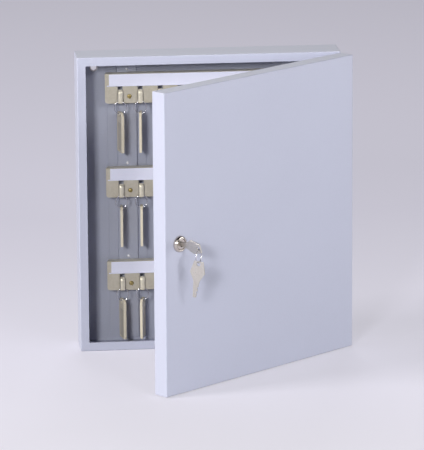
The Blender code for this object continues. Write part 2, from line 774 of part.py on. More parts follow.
def lock_nut():
    """Thin hexagon nut that clamps the lock to the door."""
    front = SHEET + 2 * GAP + WASHER_T
    corner = NUT_FLATS / math.sqrt(3)
    hexagon = prism(circle(corner, 6), front, front + NUT_T, "Y")
    round_off = turned(
        (
            (0, front), (corner - NUT_ROUND * 2, front), (corner + OVERRUN, front + NUT_ROUND * 2),
            (corner + OVERRUN, front + NUT_T + OVERRUN), (0, front + NUT_T + OVERRUN),
        ),
        ROUND,
    )
    bore = prism(circle(LOCK_BARREL_R + GAP, ROUND), front - OVERRUN, front + NUT_T + OVERRUN, "Y")
    return cut(combined(hexagon, round_off, "INTERSECT"), bore)


def lock_plug():
    """Plug with its collar, keyway, and a square tail for the cam."""
    face = -LOCK_HEAD + LOCK_SINK
    shoulder = LOCK_END - GAP
    cylinder = turned(
        (
            (0, face), (LOCK_COLLAR_R - LOCK_SINK, face), (LOCK_COLLAR_R, face + LOCK_SINK),
            (LOCK_COLLAR_R, face + LOCK_COLLAR), (LOCK_PLUG_R, face + LOCK_COLLAR),
            (LOCK_PLUG_R, shoulder), (0, shoulder),
        ),
        ROUND,
    )
    half = TAIL_SIDE / 2
    tail = block((-half, shoulder - OVERRUN, -half), (half, LOCK_END + GAP + CAM_T, half))
    wide = KEY_T / 2 + KEYWAY_PLAY
    high = KEY_BLADE_W / 2 + KEYWAY_PLAY
    slot = rolled([(-wide, -high), (wide, -high), (wide, high), (-wide, high)], KEY_ROLL_DEG)
    keyway = prism(slot, face - OVERRUN, KEY_BOW_L + KEY_BLADE_L - KEY_OUT + GAP, "Y")
    tapped_low = LOCK_END + GAP + CAM_T - CAM_SCREW_DEPTH - GAP
    tapped = prism(circle(CAM_SCREW_R + GAP, ROUND_SMALL), tapped_low, LOCK_END + CAM_T + OVERRUN, "Y")
    return cut(joined(cylinder, tail), gathered([keyway, tapped]))


def lock_cam():
    """Cam plate on the plug's tail, pointing down when the door is free to open."""
    half = CAM_WIDTH / 2
    outline = arc((0, 0), half, 0, 180, ROUND_SMALL // 2)
    tip = -CAM_LENGTH + CAM_TIP_R
    outline += arc((-half + CAM_TIP_R, tip), CAM_TIP_R, 180, 270, CORNER_STEPS)
    outline += arc((half - CAM_TIP_R, tip), CAM_TIP_R, 270, 360, CORNER_STEPS)
    front = LOCK_END + GAP
    plate = prism(outline, front, front + CAM_T, "Y")
    side = TAIL_SIDE / 2 + GAP
    return cut(plate, block((-side, front - OVERRUN, -side), (side, front + CAM_T + OVERRUN, side)))


def lock_cam_screw():
    """Screw in the plug's tail, whose head keeps the cam on."""
    under = LOCK_END + 2 * GAP + CAM_T
    profile = (
        (0, under - CAM_SCREW_DEPTH), (CAM_SCREW_R, under - CAM_SCREW_DEPTH), (CAM_SCREW_R, under),
        (CAM_SCREW_HEAD_R, under), (CAM_SCREW_HEAD_R, under + CAM_SCREW_HEAD / 2),
        (CAM_SCREW_HEAD_R - CAM_SCREW_HEAD / 2, under + CAM_SCREW_HEAD), (0, under + CAM_SCREW_HEAD),
    )
    return turned(profile, ROUND_SMALL)


def key():
    """Flat key, blade down, in the YZ plane. Origin: the middle of its eye."""
    end = KEY_EYE_IN
    waist = end - KEY_BOW_WAIST
    neck = end - KEY_BOW_L
    tip = neck - KEY_BLADE_L
    blade = KEY_BLADE_W / 2
    nose = KEY_TIP_W / 2
    right = [
        (nose / 2, tip), (nose, tip + nose / 2), (blade, neck - KEY_NECK_W / 4),
        (KEY_NECK_W / 2, neck), (KEY_BOW_W / 2, waist), (KEY_BOW_END_W / 2, end),
    ]
    taper = (blade - nose) / (right[2][1] - right[1][1])
    bits = []
    for index, depth in enumerate(KEY_BIT_DEPTHS):
        z = tip + KEY_BIT_START + KEY_BIT_PITCH * index
        for z_cut, y_cut in ((z - KEY_BIT_FLAT - depth, 0), (z - KEY_BIT_FLAT, depth),
                             (z + KEY_BIT_FLAT, depth), (z + KEY_BIT_FLAT + depth, 0)):
            edge = nose + taper * (z_cut - right[1][1])
            bits.append((-edge + y_cut, z_cut))
    bits.sort(key=lambda point: -point[1])
    left = [(-y, z) for y, z in reversed(right)]
    outline = right + left[:4] + bits + left[4:]
    flat = prism(outline, -KEY_T / 2, KEY_T / 2, "X")
    cuts = [prism(circle(KEY_EYE_R, ROUND_SMALL), -KEY_T, KEY_T, "X")]
    floor = KEY_T / 2 - KEY_GROOVE
    for low, high in ((-KEY_T, -floor), (floor, KEY_T)):
        cuts.append(block((low, -KEY_GROOVE_W / 2, tip - OVERRUN), (high, KEY_GROOVE_W / 2, neck)))
    return cut(flat, gathered(cuts))


def build_case(paint, steel, plastic, label, brass):
    """Everything that stays still: case, rack, bars, labels and the fixed half of the hinges."""
    node("case_frame", case_frame(), paint)
    node("case_back", case_back(), paint)
    for (side, name), x in zip(SIDES, fixing_xs()):
        node(f"fixing_grommet_{name}", fixing_grommet(), plastic, place=(x, 0, CASE_H - HOLE_IN_Z))
        rail = cut(upright(), upright_holes(side))
        node(f"upright_{name}", rail, paint, place=(RACK_SHIFT + side * UPRIGHT_X, 0, 0))
    bar = key_bar()
    strip = label_strip()
    for row, bar_z in zip(ROW_NAMES, BAR_ZS):
        node(f"key_bar_{row}", bar.copy(), steel, place=(RACK_SHIFT, BAR_FRONT_Y, bar_z))
        node(f"label_strip_{row}", strip.copy(), label, place=(RACK_SHIFT, BAR_FRONT_Y, bar_z))
        for side, name in SIDES:
            place = (RACK_SHIFT + side * SCREW_X, BAR_FRONT_Y, bar_z + SCREW_Z)
            node(f"bar_screw_{row}_{name}", bar_screw(), brass, place=place)
            node(f"bar_spacer_{row}_{name}", bar_spacer(), steel, place=place)
    for z, name in zip(hinge_zs(), ("lower", "upper")):
        place = (HINGE_X, HINGE_Y, z)
        node(f"hinge_leaf_case_{name}", hinge_leaf(1, True), steel, place=place)
        node(f"hinge_pin_{name}", hinge_pin(), steel, place=place)


def build_tags(chrome, ivory, paper):
    """Ring, tag and label on the first two hooks of each bar."""
    for row, name in enumerate(ROW_NAMES):
        for column, twist in enumerate(TAG_TWIST_DEG[BAR_COUNT - 1 - row]):
            label = f"{name}_{column + 1}"
            swing = pivot(f"ring_pivot_{label}", tag_ring_place(row, column))
            node(f"tag_ring_{label}", wire_ring(TAG_RING_R, TAG_WIRE_R), chrome, parent=swing)
            turn = (0, 0, math.radians(twist))
            hang = pivot(f"tag_pivot_{label}", (0, 0, -2 * TAG_RING_R), parent=swing, turn=turn)
            node(f"key_tag_{label}", key_tag(), ivory, parent=hang)
            node(f"tag_label_{label}", tag_label(), paper, parent=hang)


def build_door(paint, steel, chrome, nickel):
    """The door with its hinge leaves, lock, keys and key ring, at its open angle."""
    hinge = pivot("door_pivot", (HINGE_X, HINGE_Y, 0), turn=(0, 0, math.radians(DOOR_OPEN_DEG)))
    node("door_panel", door_panel(), paint, parent=hinge)
    for z, name in zip(hinge_zs(), ("lower", "upper")):
        node(f"hinge_leaf_door_{name}", hinge_leaf(-1, False), steel, parent=hinge, place=(0, 0, z))
    axis = pivot("lock_pivot", (LOCK_X, LOCK_Y, CASE_H / 2), parent=hinge)
    node("lock_housing", lock_housing(), chrome, parent=axis)
    node("lock_washer", lock_washer(), steel, parent=axis)
    node("lock_nut", lock_nut(), steel, parent=axis)
    node("lock_plug", lock_plug(), nickel, parent=axis)
    node("lock_cam", lock_cam(), steel, parent=axis)
    node("lock_cam_screw", lock_cam_screw(), steel, parent=axis)
    eye = pivot("key_pivot", (0, -KEY_OUT + KEY_EYE_IN, 0), parent=axis)
    roll = math.radians(KEY_ROLL_DEG)
    node("key_in_lock", key(), nickel, parent=eye, turn=(math.pi / 2, roll, 0))
    ring_drop = (KEY_EYE_R - GAP) * math.cos(roll) - KEY_WIRE_R - KEY_T / 2 * abs(math.sin(roll))
    ring_turn = (0, 0, math.radians(KEY_RING_TURN_DEG))
    ring = pivot("key_ring_pivot", (0, 0, -ring_drop), parent=eye, turn=ring_turn)
    node("key_ring", wire_ring(KEY_RING_R, KEY_WIRE_R), chrome, parent=ring)
    spare_turn = (math.radians(SPARE_TILT_DEG), 0, 0)
    spare = pivot("spare_key_pivot", (0, 0, -2 * KEY_RING_R), parent=ring, turn=spare_turn)
    spare_drop = KEY_EYE_R - KEY_WIRE_R - GAP
    node("spare_key", key(), nickel, parent=spare, place=(0, 0, -spare_drop))


def main():
    """Clear the scene and build the cabinet."""
    for item in list(bpy.data.objects):
        bpy.data.objects.remove(item)
    paint = material("light grey paint", (0.55, 0.56, 0.64), 0.45, 0.0)
    steel = material("zinc plated steel", (0.52, 0.50, 0.44), 0.38, 0.9)
    plastic = material("pale plastic", (0.72, 0.70, 0.70), 0.5, 0.0)
    label = material("label white", (0.80, 0.81, 0.88), 0.4, 0.0)
    brass = material("yellow passivated steel", (0.42, 0.34, 0.12), 0.35, 0.9)
    chrome = material("chrome", (0.75, 0.75, 0.76), 0.15, 1.0)
    nickel = material("nickel plated brass", (0.68, 0.65, 0.62), 0.28, 1.0)
    ivory = material("ivory plastic", (0.66, 0.62, 0.50), 0.45, 0.0)
    paper = material("paper", (0.85, 0.85, 0.90), 0.7, 0.0)
    build_case(paint, steel, plastic, label, brass)
    build_tags(chrome, ivory, paper)
    build_door(paint, steel, chrome, nickel)


main()
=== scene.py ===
"""Looks of the key cabinet: finishes, softened edges and finely turned metal on its CAD frame."""

from __future__ import annotations

import json
import logging
import math
from dataclasses import dataclass
from enum import Enum

import bmesh
import bpy
import numpy as np
from mathutils import Matrix, Vector

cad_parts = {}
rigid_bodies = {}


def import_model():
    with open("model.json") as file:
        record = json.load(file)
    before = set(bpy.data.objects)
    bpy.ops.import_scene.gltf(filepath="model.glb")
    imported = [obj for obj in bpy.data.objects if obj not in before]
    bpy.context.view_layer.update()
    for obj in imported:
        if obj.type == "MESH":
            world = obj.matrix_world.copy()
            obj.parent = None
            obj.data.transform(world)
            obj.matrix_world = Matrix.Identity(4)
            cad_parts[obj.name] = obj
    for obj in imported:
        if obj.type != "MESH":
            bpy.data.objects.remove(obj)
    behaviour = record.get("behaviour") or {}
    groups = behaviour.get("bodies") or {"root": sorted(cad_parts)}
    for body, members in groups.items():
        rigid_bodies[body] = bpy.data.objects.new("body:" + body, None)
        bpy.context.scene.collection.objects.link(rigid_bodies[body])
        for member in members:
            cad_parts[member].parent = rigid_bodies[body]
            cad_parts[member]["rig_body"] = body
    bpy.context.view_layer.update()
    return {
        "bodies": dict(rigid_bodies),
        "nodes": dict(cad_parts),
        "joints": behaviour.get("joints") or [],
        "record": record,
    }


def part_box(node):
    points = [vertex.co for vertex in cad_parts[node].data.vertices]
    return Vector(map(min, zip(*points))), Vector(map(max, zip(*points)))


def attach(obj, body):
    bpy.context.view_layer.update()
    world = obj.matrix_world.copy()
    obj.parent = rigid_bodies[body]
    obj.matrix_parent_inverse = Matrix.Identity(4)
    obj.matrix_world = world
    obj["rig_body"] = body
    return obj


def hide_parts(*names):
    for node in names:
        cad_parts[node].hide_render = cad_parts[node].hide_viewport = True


LOG = logging.getLogger("key_cabinet")
MM = 0.001
SIDES = ("left", "right")
RIGHT, BACK, UP = np.array([1.0, 0.0, 0.0]), np.array([0.0, 1.0, 0.0]), np.array([0.0, 0.0, 1.0])

Array = np.ndarray
Rgb = tuple[float, float, float]
Rgba = tuple[float, float, float, float]
Tree = bpy.types.NodeTree
Node = bpy.types.Node
Socket = bpy.types.NodeSocket
Value = Socket | float | tuple[float, ...]
Inputs = dict[str | int, Value]

BLACK: Rgba = (0.0, 0.0, 0.0, 1.0)
WHITE: Rgba = (1.0, 1.0, 1.0, 1.0)
BUMP_DEPTH = 0.02 * MM
COAT_ROUGHNESS = 0.12
DUST_CLOUD = 60.0
ROUND_STEPS = 96
CAD_WELD, GRID_WELD, TINY = 1e-6, 1e-7, 1e-9
SOCKET_KINDS = dict.fromkeys(("Vector", "Stretch"), "NodeSocketVector") | dict.fromkeys(
    ("Base", "Other", "Surface", "Dust", "Color"), "NodeSocketColor"
)


class Row(Enum):
    """The three hook bars, by the names that their nodes carry."""

    TOP = "top"
    MIDDLE = "middle"
    BOTTOM = "bottom"


class Grain(Enum):
    """Which way the fine lines of a rolled or ground metal run."""

    ACROSS = (1.0, 22.0, 22.0)
    UPRIGHT = (22.0, 22.0, 1.0)
    NONE = (1.0, 1.0, 1.0)


def linear(colour: Rgb) -> Rgba:
    """Turn a colour of 0 to 255 as a screen shows it into the shader's linear colour.

    Args:
        colour: Red, green and blue of the screen colour.

    Returns:
        Linear red, green and blue, with an alpha of one.
    """
    share = np.array(colour) / 255.0
    line = np.where(share <= 0.04045, share / 12.92, ((share + 0.055) / 1.055) ** 2.4)
    return (*line.tolist(), 1.0)


# Nodes


def _feed(tree: Tree, node: Node, inputs: Inputs) -> None:
    """Give a node its inputs.

    Args:
        tree: Tree or group that holds the node.
        node: The node.
        inputs: By name or number, a socket that is linked to the input or its fixed value.
    """
    for name, value in inputs.items():
        if isinstance(value, Socket):
            tree.links.new(value, node.inputs[name])
        else:
            node.inputs[name].default_value = value


def _node(tree: Tree, kind: str, inputs: Inputs, **settings: object) -> Node:
    """Add a node.

    Args:
        tree: Tree or group that gets the node.
        kind: The program's name for its kind.
        inputs: Its inputs, as _feed takes them.
        settings: The node's settings, which are made before its inputs are used.

    Returns:
        The new node.
    """
    node = tree.nodes.new(kind)
    for name, setting in settings.items():
        setattr(node, name, setting)
    _feed(tree, node, inputs)
    return node


def _maths(tree: Tree, operation: str, first: Value, second: Value) -> Socket:
    """Work out one number from two in a maths node, and give its socket."""
    return _node(tree, "ShaderNodeMath", {0: first, 1: second}, operation=operation).outputs[0]


def _noise(tree: Tree, vector: Value, scale: Value, detail: float) -> Socket:
    """Add a noise texture with a number of finer layers, and give its value's socket."""
    inputs = {"Vector": vector, "Scale": scale, "Detail": detail}
    return _node(tree, "ShaderNodeTexNoise", inputs).outputs["Fac"]


def _mix(tree: Tree, share: Value, first: Value, second: Value) -> Socket:
    """Mix two colours by a share of the second, and give the mixed colour's socket."""
    inputs = {0: share, 6: first, 7: second}
    return _node(tree, "ShaderNodeMix", inputs, data_type="RGBA").outputs[2]


def _ramp(tree: Tree, value: Value, stops: tuple[tuple[float, Rgba], ...]) -> Socket:
    """Turn a value into a colour.

    Args:
        tree: Tree or group that gets the node.
        value: The value.
        stops: Places and colours between which it blends.

    Returns:
        The colour's socket.
    """
    node = _node(tree, "ShaderNodeValToRGB", {"Fac": value})
    elements = node.color_ramp.elements
    while len(elements) < len(stops):
        elements.new(0.5)
    for element, (place, colour) in zip(elements, stops):
        element.position = place
        element.color = colour
    return node.outputs["Color"]


def _split(tree: Tree, vector: Value, letter: str) -> Socket:
    """Give the socket of a vector's X, Y or Z."""
    return _node(tree, "ShaderNodeSeparateXYZ", {0: vector}).outputs[letter]


def _seen(tree: Tree) -> Socket:
    """Give one where the camera or a gloss sees the backdrop, and zero where it only lights."""
    rays = _node(tree, "ShaderNodeLightPath", {}).outputs
    return _maths(tree, "MAXIMUM", rays["Is Camera Ray"], rays["Is Glossy Ray"])


class Effects:
    """Builds each shared shader effect once, as a node group, and hands it out by name."""

    def __init__(self) -> None:
        """Start with no group built."""
        self._groups: dict[str, Tree] = {}
        self._builders = {
            "mottle": self._mottle, "peel": self._peel,
            "lines": self._lines, "settle": self._film_of_dust_and_top_light,
        }

    def place(self, tree: Tree, name: str, inputs: Inputs) -> Node:
        """Place a shared group in a material.

        Args:
            tree: The material's tree.
            name: Name of the group.
            inputs: The group's inputs, as _feed takes them.

        Returns:
            The group's node.
        """
        if name not in self._groups:
            self._groups[name] = self._builders[name]()
        return _node(tree, "ShaderNodeGroup", inputs, node_tree=self._groups[name])

    @staticmethod
    def _start(name: str, inputs: str, outputs: str) -> tuple[Tree, bpy.types.NodeOutputs]:
        """Make an empty group with its sockets, which carry numbers where no other kind is named.

        Args:
            name: Name of the group.
            inputs: Names of its inputs.
            outputs: Names of its outputs.

        Returns:
            The group, and the sockets that bring its inputs.
        """
        group = bpy.data.node_groups.new(name, "ShaderNodeTree")
        for way, labels in (("INPUT", inputs), ("OUTPUT", outputs)):
            for label in labels.split():
                kind = SOCKET_KINDS.get(label, "NodeSocketFloat")
                group.interface.new_socket(label, in_out=way, socket_type=kind)
        return group, _node(group, "NodeGroupInput", {}).outputs

    def _mottle(self) -> Tree:
        """Build the group that blends two colours by soft clouds and fine specks.

        Returns:
            A group that takes Vector, Base, Other, Cloud, Speck and Amount, and gives Color and
            Mask.
        """
        group, given = self._start("mottle", "Vector Base Other Cloud Speck Amount", "Color Mask")
        cloud = _noise(group, given["Vector"], given["Cloud"], detail=4.0)
        speck = _noise(group, given["Vector"], given["Speck"], detail=2.0)
        both = _maths(group, "MULTIPLY", cloud, speck)
        spread = _ramp(group, both, ((0.12, BLACK), (0.42, WHITE)))
        amount = _maths(group, "MULTIPLY", spread, given["Amount"])
        colour = _mix(group, amount, given["Base"], given["Other"])
        _node(group, "NodeGroupOutput", {"Color": colour, "Mask": amount})
        return group

    def _peel(self) -> Tree:
        """Build the group that makes the fine ripple of sprayed or moulded surfaces.

        Returns:
            A group that takes Vector, Scale and Depth, and gives Height.
        """
        group, given = self._start("peel", "Vector Scale Depth", "Height")
        ripple = _noise(group, given["Vector"], given["Scale"], detail=1.5)
        height = _maths(group, "MULTIPLY", ripple, given["Depth"])
        _node(group, "NodeGroupOutput", {"Height": height})
        return group

    def _lines(self) -> Tree:
        """Build the group that makes the drawn-out lines of rolled metal.

        Returns:
            A group that takes Vector, Stretch, Scale and Depth, and gives Height.
        """
        group, given = self._start("lines", "Vector Stretch Scale Depth", "Height")
        stretched = _node(
            group, "ShaderNodeVectorMath", {0: given["Vector"], 1: given["Stretch"]},
            operation="MULTIPLY",
        )
        line = _noise(group, stretched.outputs[0], given["Scale"], detail=3.0)
        height = _maths(group, "MULTIPLY", line, given["Depth"])
        _node(group, "NodeGroupOutput", {"Height": height})
        return group

    def _film_of_dust_and_top_light(self) -> Tree:
        """Build the group that lays a thin film on faces that look up: dust, and where a finish
        asks for a heavy pale film, painted light from above.

        Returns:
            A group that takes Vector, Surface, Dust and Amount, and gives Color.
        """
        group, given = self._start("settle", "Vector Surface Dust Amount", "Color")
        normal = _node(group, "ShaderNodeNewGeometry", {}).outputs["Normal"]
        upward = _ramp(group, _split(group, normal, "Z"), ((0.55, BLACK), (1.0, WHITE)))
        cloud = _noise(group, given["Vector"], DUST_CLOUD, detail=3.0)
        lying = _maths(group, "MULTIPLY", upward, cloud)
        amount = _maths(group, "MULTIPLY", lying, given["Amount"])
        colour = _mix(group, amount, given["Surface"], given["Dust"])
        _node(group, "NodeGroupOutput", {"Color": colour})
        return group


# Finishes


@dataclass(frozen=True)
class Finish:
    """A surface finish: two close colours, a ripple, lines and a film of dust on up-facing faces,
    on the bar plating also painted light.
    """

    name: str
    slot: str
    colour: Rgb
    other: Rgb
    roughness: float
    metallic: float = 0.0
    coat: float = 0.0
    cloud: float = 25.0
    speck: float = 700.0
    amount: float = 0.35
    peel: float = 0.0
    peel_scale: float = 600.0
    line: float = 0.0
    line_scale: float = 260.0
    grain: Grain = Grain.NONE
    rough_spread: float = 0.06
    # Film on faces that look up: dust, and on the bar plating painted light from above.
    dust: float = 0.0
    dust_and_top_light_colour: Rgb = (196.0, 192.0, 188.0)

    def build(self, effects: Effects) -> bpy.types.Material:
        """Build the material, whose roughness rises by the spread where the mottle's mask does.

        Args:
            effects: Keeper of the shared node groups.

        Returns:
            A Principled material whose colour, roughness and bump vary over the surface.
        """
        material = bpy.data.materials.new(self.name)
        material.use_nodes = True
        tree = material.node_tree
        place = _node(tree, "ShaderNodeTexCoord", {}).outputs["Object"]
        mottle = effects.place(
            tree, "mottle",
            {
                "Vector": place, "Base": linear(self.colour), "Other": linear(self.other),
                "Cloud": self.cloud, "Speck": self.speck, "Amount": self.amount,
            },
        )
        colour = mottle.outputs["Color"]
        if self.dust:
            dust = linear(self.dust_and_top_light_colour)
            inputs = {"Vector": place, "Surface": colour, "Dust": dust, "Amount": self.dust}
            colour = effects.place(tree, "settle", inputs).outputs["Color"]
        spread = _maths(tree, "MULTIPLY", mottle.outputs["Mask"], self.rough_spread)
        looks = {
            "Base Color": colour,
            "Roughness": _maths(tree, "ADD", spread, self.roughness),
            "Metallic": self.metallic,
            "Coat Weight": self.coat,
            "Coat Roughness": COAT_ROUGHNESS,
        }
        _feed(tree, tree.nodes["Principled BSDF"], looks | self._bump(tree, effects, place))
        return material

    def _bump(self, tree: Tree, effects: Effects, place: Socket) -> Inputs:
        """Work the ripple and the lines into a normal, where the finish has them.

        Args:
            tree: The material's tree.
            effects: Keeper of the shared node groups.
            place: Socket that gives the coordinates.

        Returns:
            The shader's Normal by its name, or nothing where the surface is plain.
        """
        ripple = {"Vector": place, "Scale": self.peel_scale, "Depth": self.peel}
        lines = {"Vector": place, "Scale": self.line_scale, "Depth": self.line}
        lines["Stretch"] = self.grain.value
        heights = [
            effects.place(tree, name, inputs).outputs["Height"]
            for name, inputs in (("peel", ripple), ("lines", lines))
            if inputs["Depth"]
        ]
        if not heights:
            return {}
        height = heights[0] if len(heights) == 1 else _maths(tree, "ADD", *heights)
        inputs = {"Strength": 1.0, "Distance": BUMP_DEPTH, "Height": height}
        return {"Normal": _node(tree, "ShaderNodeBump", inputs).outputs["Normal"]}


POWDER_COAT = Finish(
    "grey_powder_coat", "paint", (193, 196, 215), (187, 190, 209), 0.42,
    cloud=9.0, speck=500.0, amount=0.5, peel=0.9, peel_scale=900.0,
    dust=0.10, dust_and_top_light_colour=(190, 188, 196),
)
# A darker copy of the grey powder coat: painted shade for the inside of the case.
SHADED_INNER_COAT = Finish(
    "grey_inner_coat_shaded", "paint", (169, 172, 187), (161, 164, 179), 0.48,
    cloud=14.0, speck=500.0, amount=0.6, peel=0.9, peel_scale=900.0, dust=0.12,
)
# Its heavy pale film on faces that look up is painted light from above on the top flanges, as well
# as dust.
BAR_PLATE = Finish(
    "bar_plating", "zinc_steel", (203, 196, 180), (184, 176, 155), 0.40, metallic=0.35,
    cloud=45.0, speck=350.0, amount=0.6, line=0.8, line_scale=240.0, grain=Grain.ACROSS,
    dust=0.75, dust_and_top_light_colour=(246, 244, 230),
)
# Paler than the bar plating: rubbed wear from the rings, and a painted highlight for the light that
# the leaning hook faces catch.
HOOK_RUBBED_AND_LIT = Finish(
    "rubbed_and_lit_hook", "zinc_steel", (232, 225, 206), (208, 198, 172), 0.34, metallic=0.35,
    cloud=160.0, speck=600.0, amount=0.6, line=0.6, line_scale=420.0, grain=Grain.UPRIGHT,
)
# Near white: bare pressed metal, and a painted highlight on each pip.
PIP_BARE_AND_GLINT = Finish(
    "bare_pip_with_glint", "zinc_steel", (244, 244, 248), (226, 226, 232), 0.26, metallic=0.30,
    cloud=300.0, speck=900.0, amount=0.5,
)
ZINC = Finish(
    "bright_zinc", "zinc_steel", (190, 190, 194), (166, 166, 172), 0.34, metallic=0.9,
    cloud=120.0, speck=700.0, amount=0.6, line=0.5, line_scale=300.0, grain=Grain.UPRIGHT,
)
LABEL_WHITE = Finish(
    "label_white", "label_white", (238, 239, 255), (233, 234, 251), 0.32, coat=0.15,
    cloud=50.0, speck=600.0, amount=0.5, peel=0.4, peel_scale=700.0, dust=0.08,
)
GROMMET = Finish(
    "grommet_plastic", "pale_plastic", (240, 234, 232), (228, 220, 218), 0.42,
    cloud=180.0, speck=900.0, amount=0.5, peel=0.5, peel_scale=1500.0,
)
YELLOW_ZINC = Finish(
    "yellow_zinc", "yellow_zinc", (186, 166, 106), (146, 136, 100), 0.36, metallic=0.80,
    cloud=500.0, speck=1500.0, amount=0.8, line=0.3, line_scale=900.0,
)
CHROME = Finish(
    "lock_chrome", "chrome", (210, 202, 193), (188, 180, 171), 0.11, metallic=1.0,
    cloud=200.0, speck=1200.0, amount=0.4, rough_spread=0.05,
)
RING_WIRE = Finish(
    "ring_wire", "chrome", (206, 206, 210), (178, 176, 176), 0.18, metallic=1.0,
    cloud=400.0, speck=1500.0, amount=0.5, rough_spread=0.12,
)
NICKEL = Finish(
    "key_nickel", "nickel", (210, 206, 200), (184, 180, 173), 0.27, metallic=0.9,
    cloud=220.0, speck=1100.0, amount=0.6, line=0.5, line_scale=500.0, grain=Grain.UPRIGHT,
    rough_spread=0.12,
)
TAG_SHELL = Finish(
    "tag_shell", "tag_plastic", (226, 216, 194), (212, 202, 180), 0.38, coat=0.1,
    cloud=120.0, speck=800.0, amount=0.5, peel=0.4, peel_scale=1200.0,
)
TAG_PAPER = Finish(
    "tag_paper", "paper", (208, 200, 186), (196, 188, 172), 0.62,
    cloud=160.0, speck=2200.0, amount=0.6, peel=0.6, peel_scale=2200.0, rough_spread=0.1,
)


class Workshop:
    """Hands out each finish's material, built the first time it is asked for."""

    def __init__(self) -> None:
        """Start with the shared effects and no material."""
        self.effects = Effects()
        self._made: dict[str, bpy.types.Material] = {}

    def material(self, finish: Finish) -> bpy.types.Material:
        """Give the material of a finish.

        Args:
            finish: The finish.

        Returns:
            Its material.
        """
        if finish.name not in self._made:
            self._made[finish.name] = finish.build(self.effects)
        return self._made[finish.name]


def placed(name: str, data: bpy.types.ID) -> bpy.types.Object:
    """Make an object of a mesh, a lamp or a camera, and link it to the scene.

    Args:
        name: Name of the object.
        data: What it shows.

    Returns:
        The object, at the origin.
    """
    made = bpy.data.objects.new(name, data)
    bpy.context.scene.collection.objects.link(made)
    return made


# Surfaces worked out with numpy


@dataclass
class Grid:
    """Points on a grid of two parameters, whose last column joins its first.

    Rows run along the first parameter and columns along the second. The last row joins the first
    too where the grid is closed, and each end has a flat face where it is capped.
    """

    points: Array
    closed: bool = False
    capped: bool = False

    def faces(self, offset: int) -> list[tuple[int, ...]]:
        """Work out the faces: each cell of the grid gives one quad, and each cap one polygon.

        Args:
            offset: Index of the grid's first vertex in the finished mesh.

        Returns:
            Vertex indices of each face.
        """
        rows, columns = self.points.shape[:2]
        index = np.arange(rows * columns).reshape(rows, columns) + offset
        below = np.roll(index, -1, axis=0) if self.closed else index[1:]
        above = index if self.closed else index[:-1]
        beside_above, beside_below = np.roll(above, -1, axis=1), np.roll(below, -1, axis=1)
        quads = np.stack([above, beside_above, beside_below, below], axis=-1).reshape(-1, 4)
        made = [tuple(quad) for quad in quads.tolist()]
        if self.capped:
            made += [tuple(index[0][::-1].tolist()), tuple(index[-1].tolist())]
        return made


def mesh_of(name: str, grids: list[Grid], sharp: float = 40.0) -> bpy.types.Object:
    """Put grids into one mesh object, smooth where its faces meet at less than an angle.

    Args:
        name: Name of the object.
        grids: The surfaces.
        sharp: Angle in degrees above which an edge stays sharp.

    Returns:
        The object, at the origin and linked to the scene.
    """
    points = np.concatenate([grid.points.reshape(-1, 3) for grid in grids])
    faces: list[tuple[int, ...]] = []
    offset = 0
    for grid in grids:
        faces += grid.faces(offset)
        offset += grid.points.shape[0] * grid.points.shape[1]
    mesh = bpy.data.meshes.new(name)
    mesh.from_pydata(points.tolist(), [], faces)
    merged = bmesh.new()
    merged.from_mesh(mesh)
    bmesh.ops.remove_doubles(merged, verts=merged.verts, dist=GRID_WELD)
    bmesh.ops.recalc_face_normals(merged, faces=merged.faces)
    merged.to_mesh(mesh)
    merged.free()
    return shown(name, mesh, sharp)


def shown(name: str, mesh: bpy.types.Mesh, sharp: float) -> bpy.types.Object:
    """Link a mesh to the scene as a smooth object.

    Args:
        name: Name of the object.
        mesh: Its mesh.
        sharp: Angle in degrees above which an edge stays sharp.

    Returns:
        The object.
    """
    mesh.shade_smooth()
    mesh.set_sharp_from_angle(angle=math.radians(sharp))
    return placed(name, mesh)


def middle(low: Vector, high: Vector, y: float) -> Array:
    """Give the middle of a box from side to side and from bottom to top, at a given Y."""
    return np.array([(low.x + high.x) / 2, y, (low.z + high.z) / 2])


def turn_of(steps: int = ROUND_STEPS) -> Array:
    """Give the angles of a full turn in even steps, without its end."""
    return np.linspace(0.0, math.tau, steps, endpoint=False)


def torus(centre: Array, across: Array, radius: float, wire: float) -> Grid:
    """Work out an upright wire ring: a point on the ring plus a small circle round its tangent.

    With ring angle u and wire angle v, the point is centre + (radius + wire cos v) times
    (across cos u + up sin u) + wire sin v times the ring's normal.

    Args:
        centre: Middle of the ring.
        across: Level direction of its plane.
        radius: Radius of the wire's centre line.
        wire: Radius of the wire.

    Returns:
        The closed surface.
    """
    ring_steps, wire_steps = 120, 16
    u = turn_of(ring_steps)[:, None, None]
    v = turn_of(wire_steps)[None, :, None]
    out = across * np.cos(u) + UP * np.sin(u)
    points = centre + out * (radius + wire * np.cos(v)) + np.cross(across, UP) * wire * np.sin(v)
    return Grid(points, closed=True)


def spun(
    centre: Array, axis: Array, profile: Array, steps: int = ROUND_STEPS, closed: bool = False
) -> Grid:
    """Work out a turned surface: each profile point goes round the axis on a circle.

    With profile radius r and place a, and turn angle u, the point is centre + axis a +
    r (side cos u + up sin u), where side and up are square to the axis.

    Args:
        centre: Point on the axis where the profile's place is zero.
        axis: Direction of the axis.
        profile: Radius and place of each profile point.
        steps: Number of steps round.
        closed: Whether the profile's last point joins its first.

    Returns:
        The surface, whose poles close where a radius is zero.
    """
    side = np.cross(UP, axis)
    side /= np.linalg.norm(side)
    u = turn_of(steps)[None, :, None]
    radius = profile[:, 0][:, None, None]
    place = profile[:, 1][:, None, None]
    points = centre + axis * place + radius * (side * np.cos(u) + UP * np.sin(u))
    return Grid(points, closed=closed)


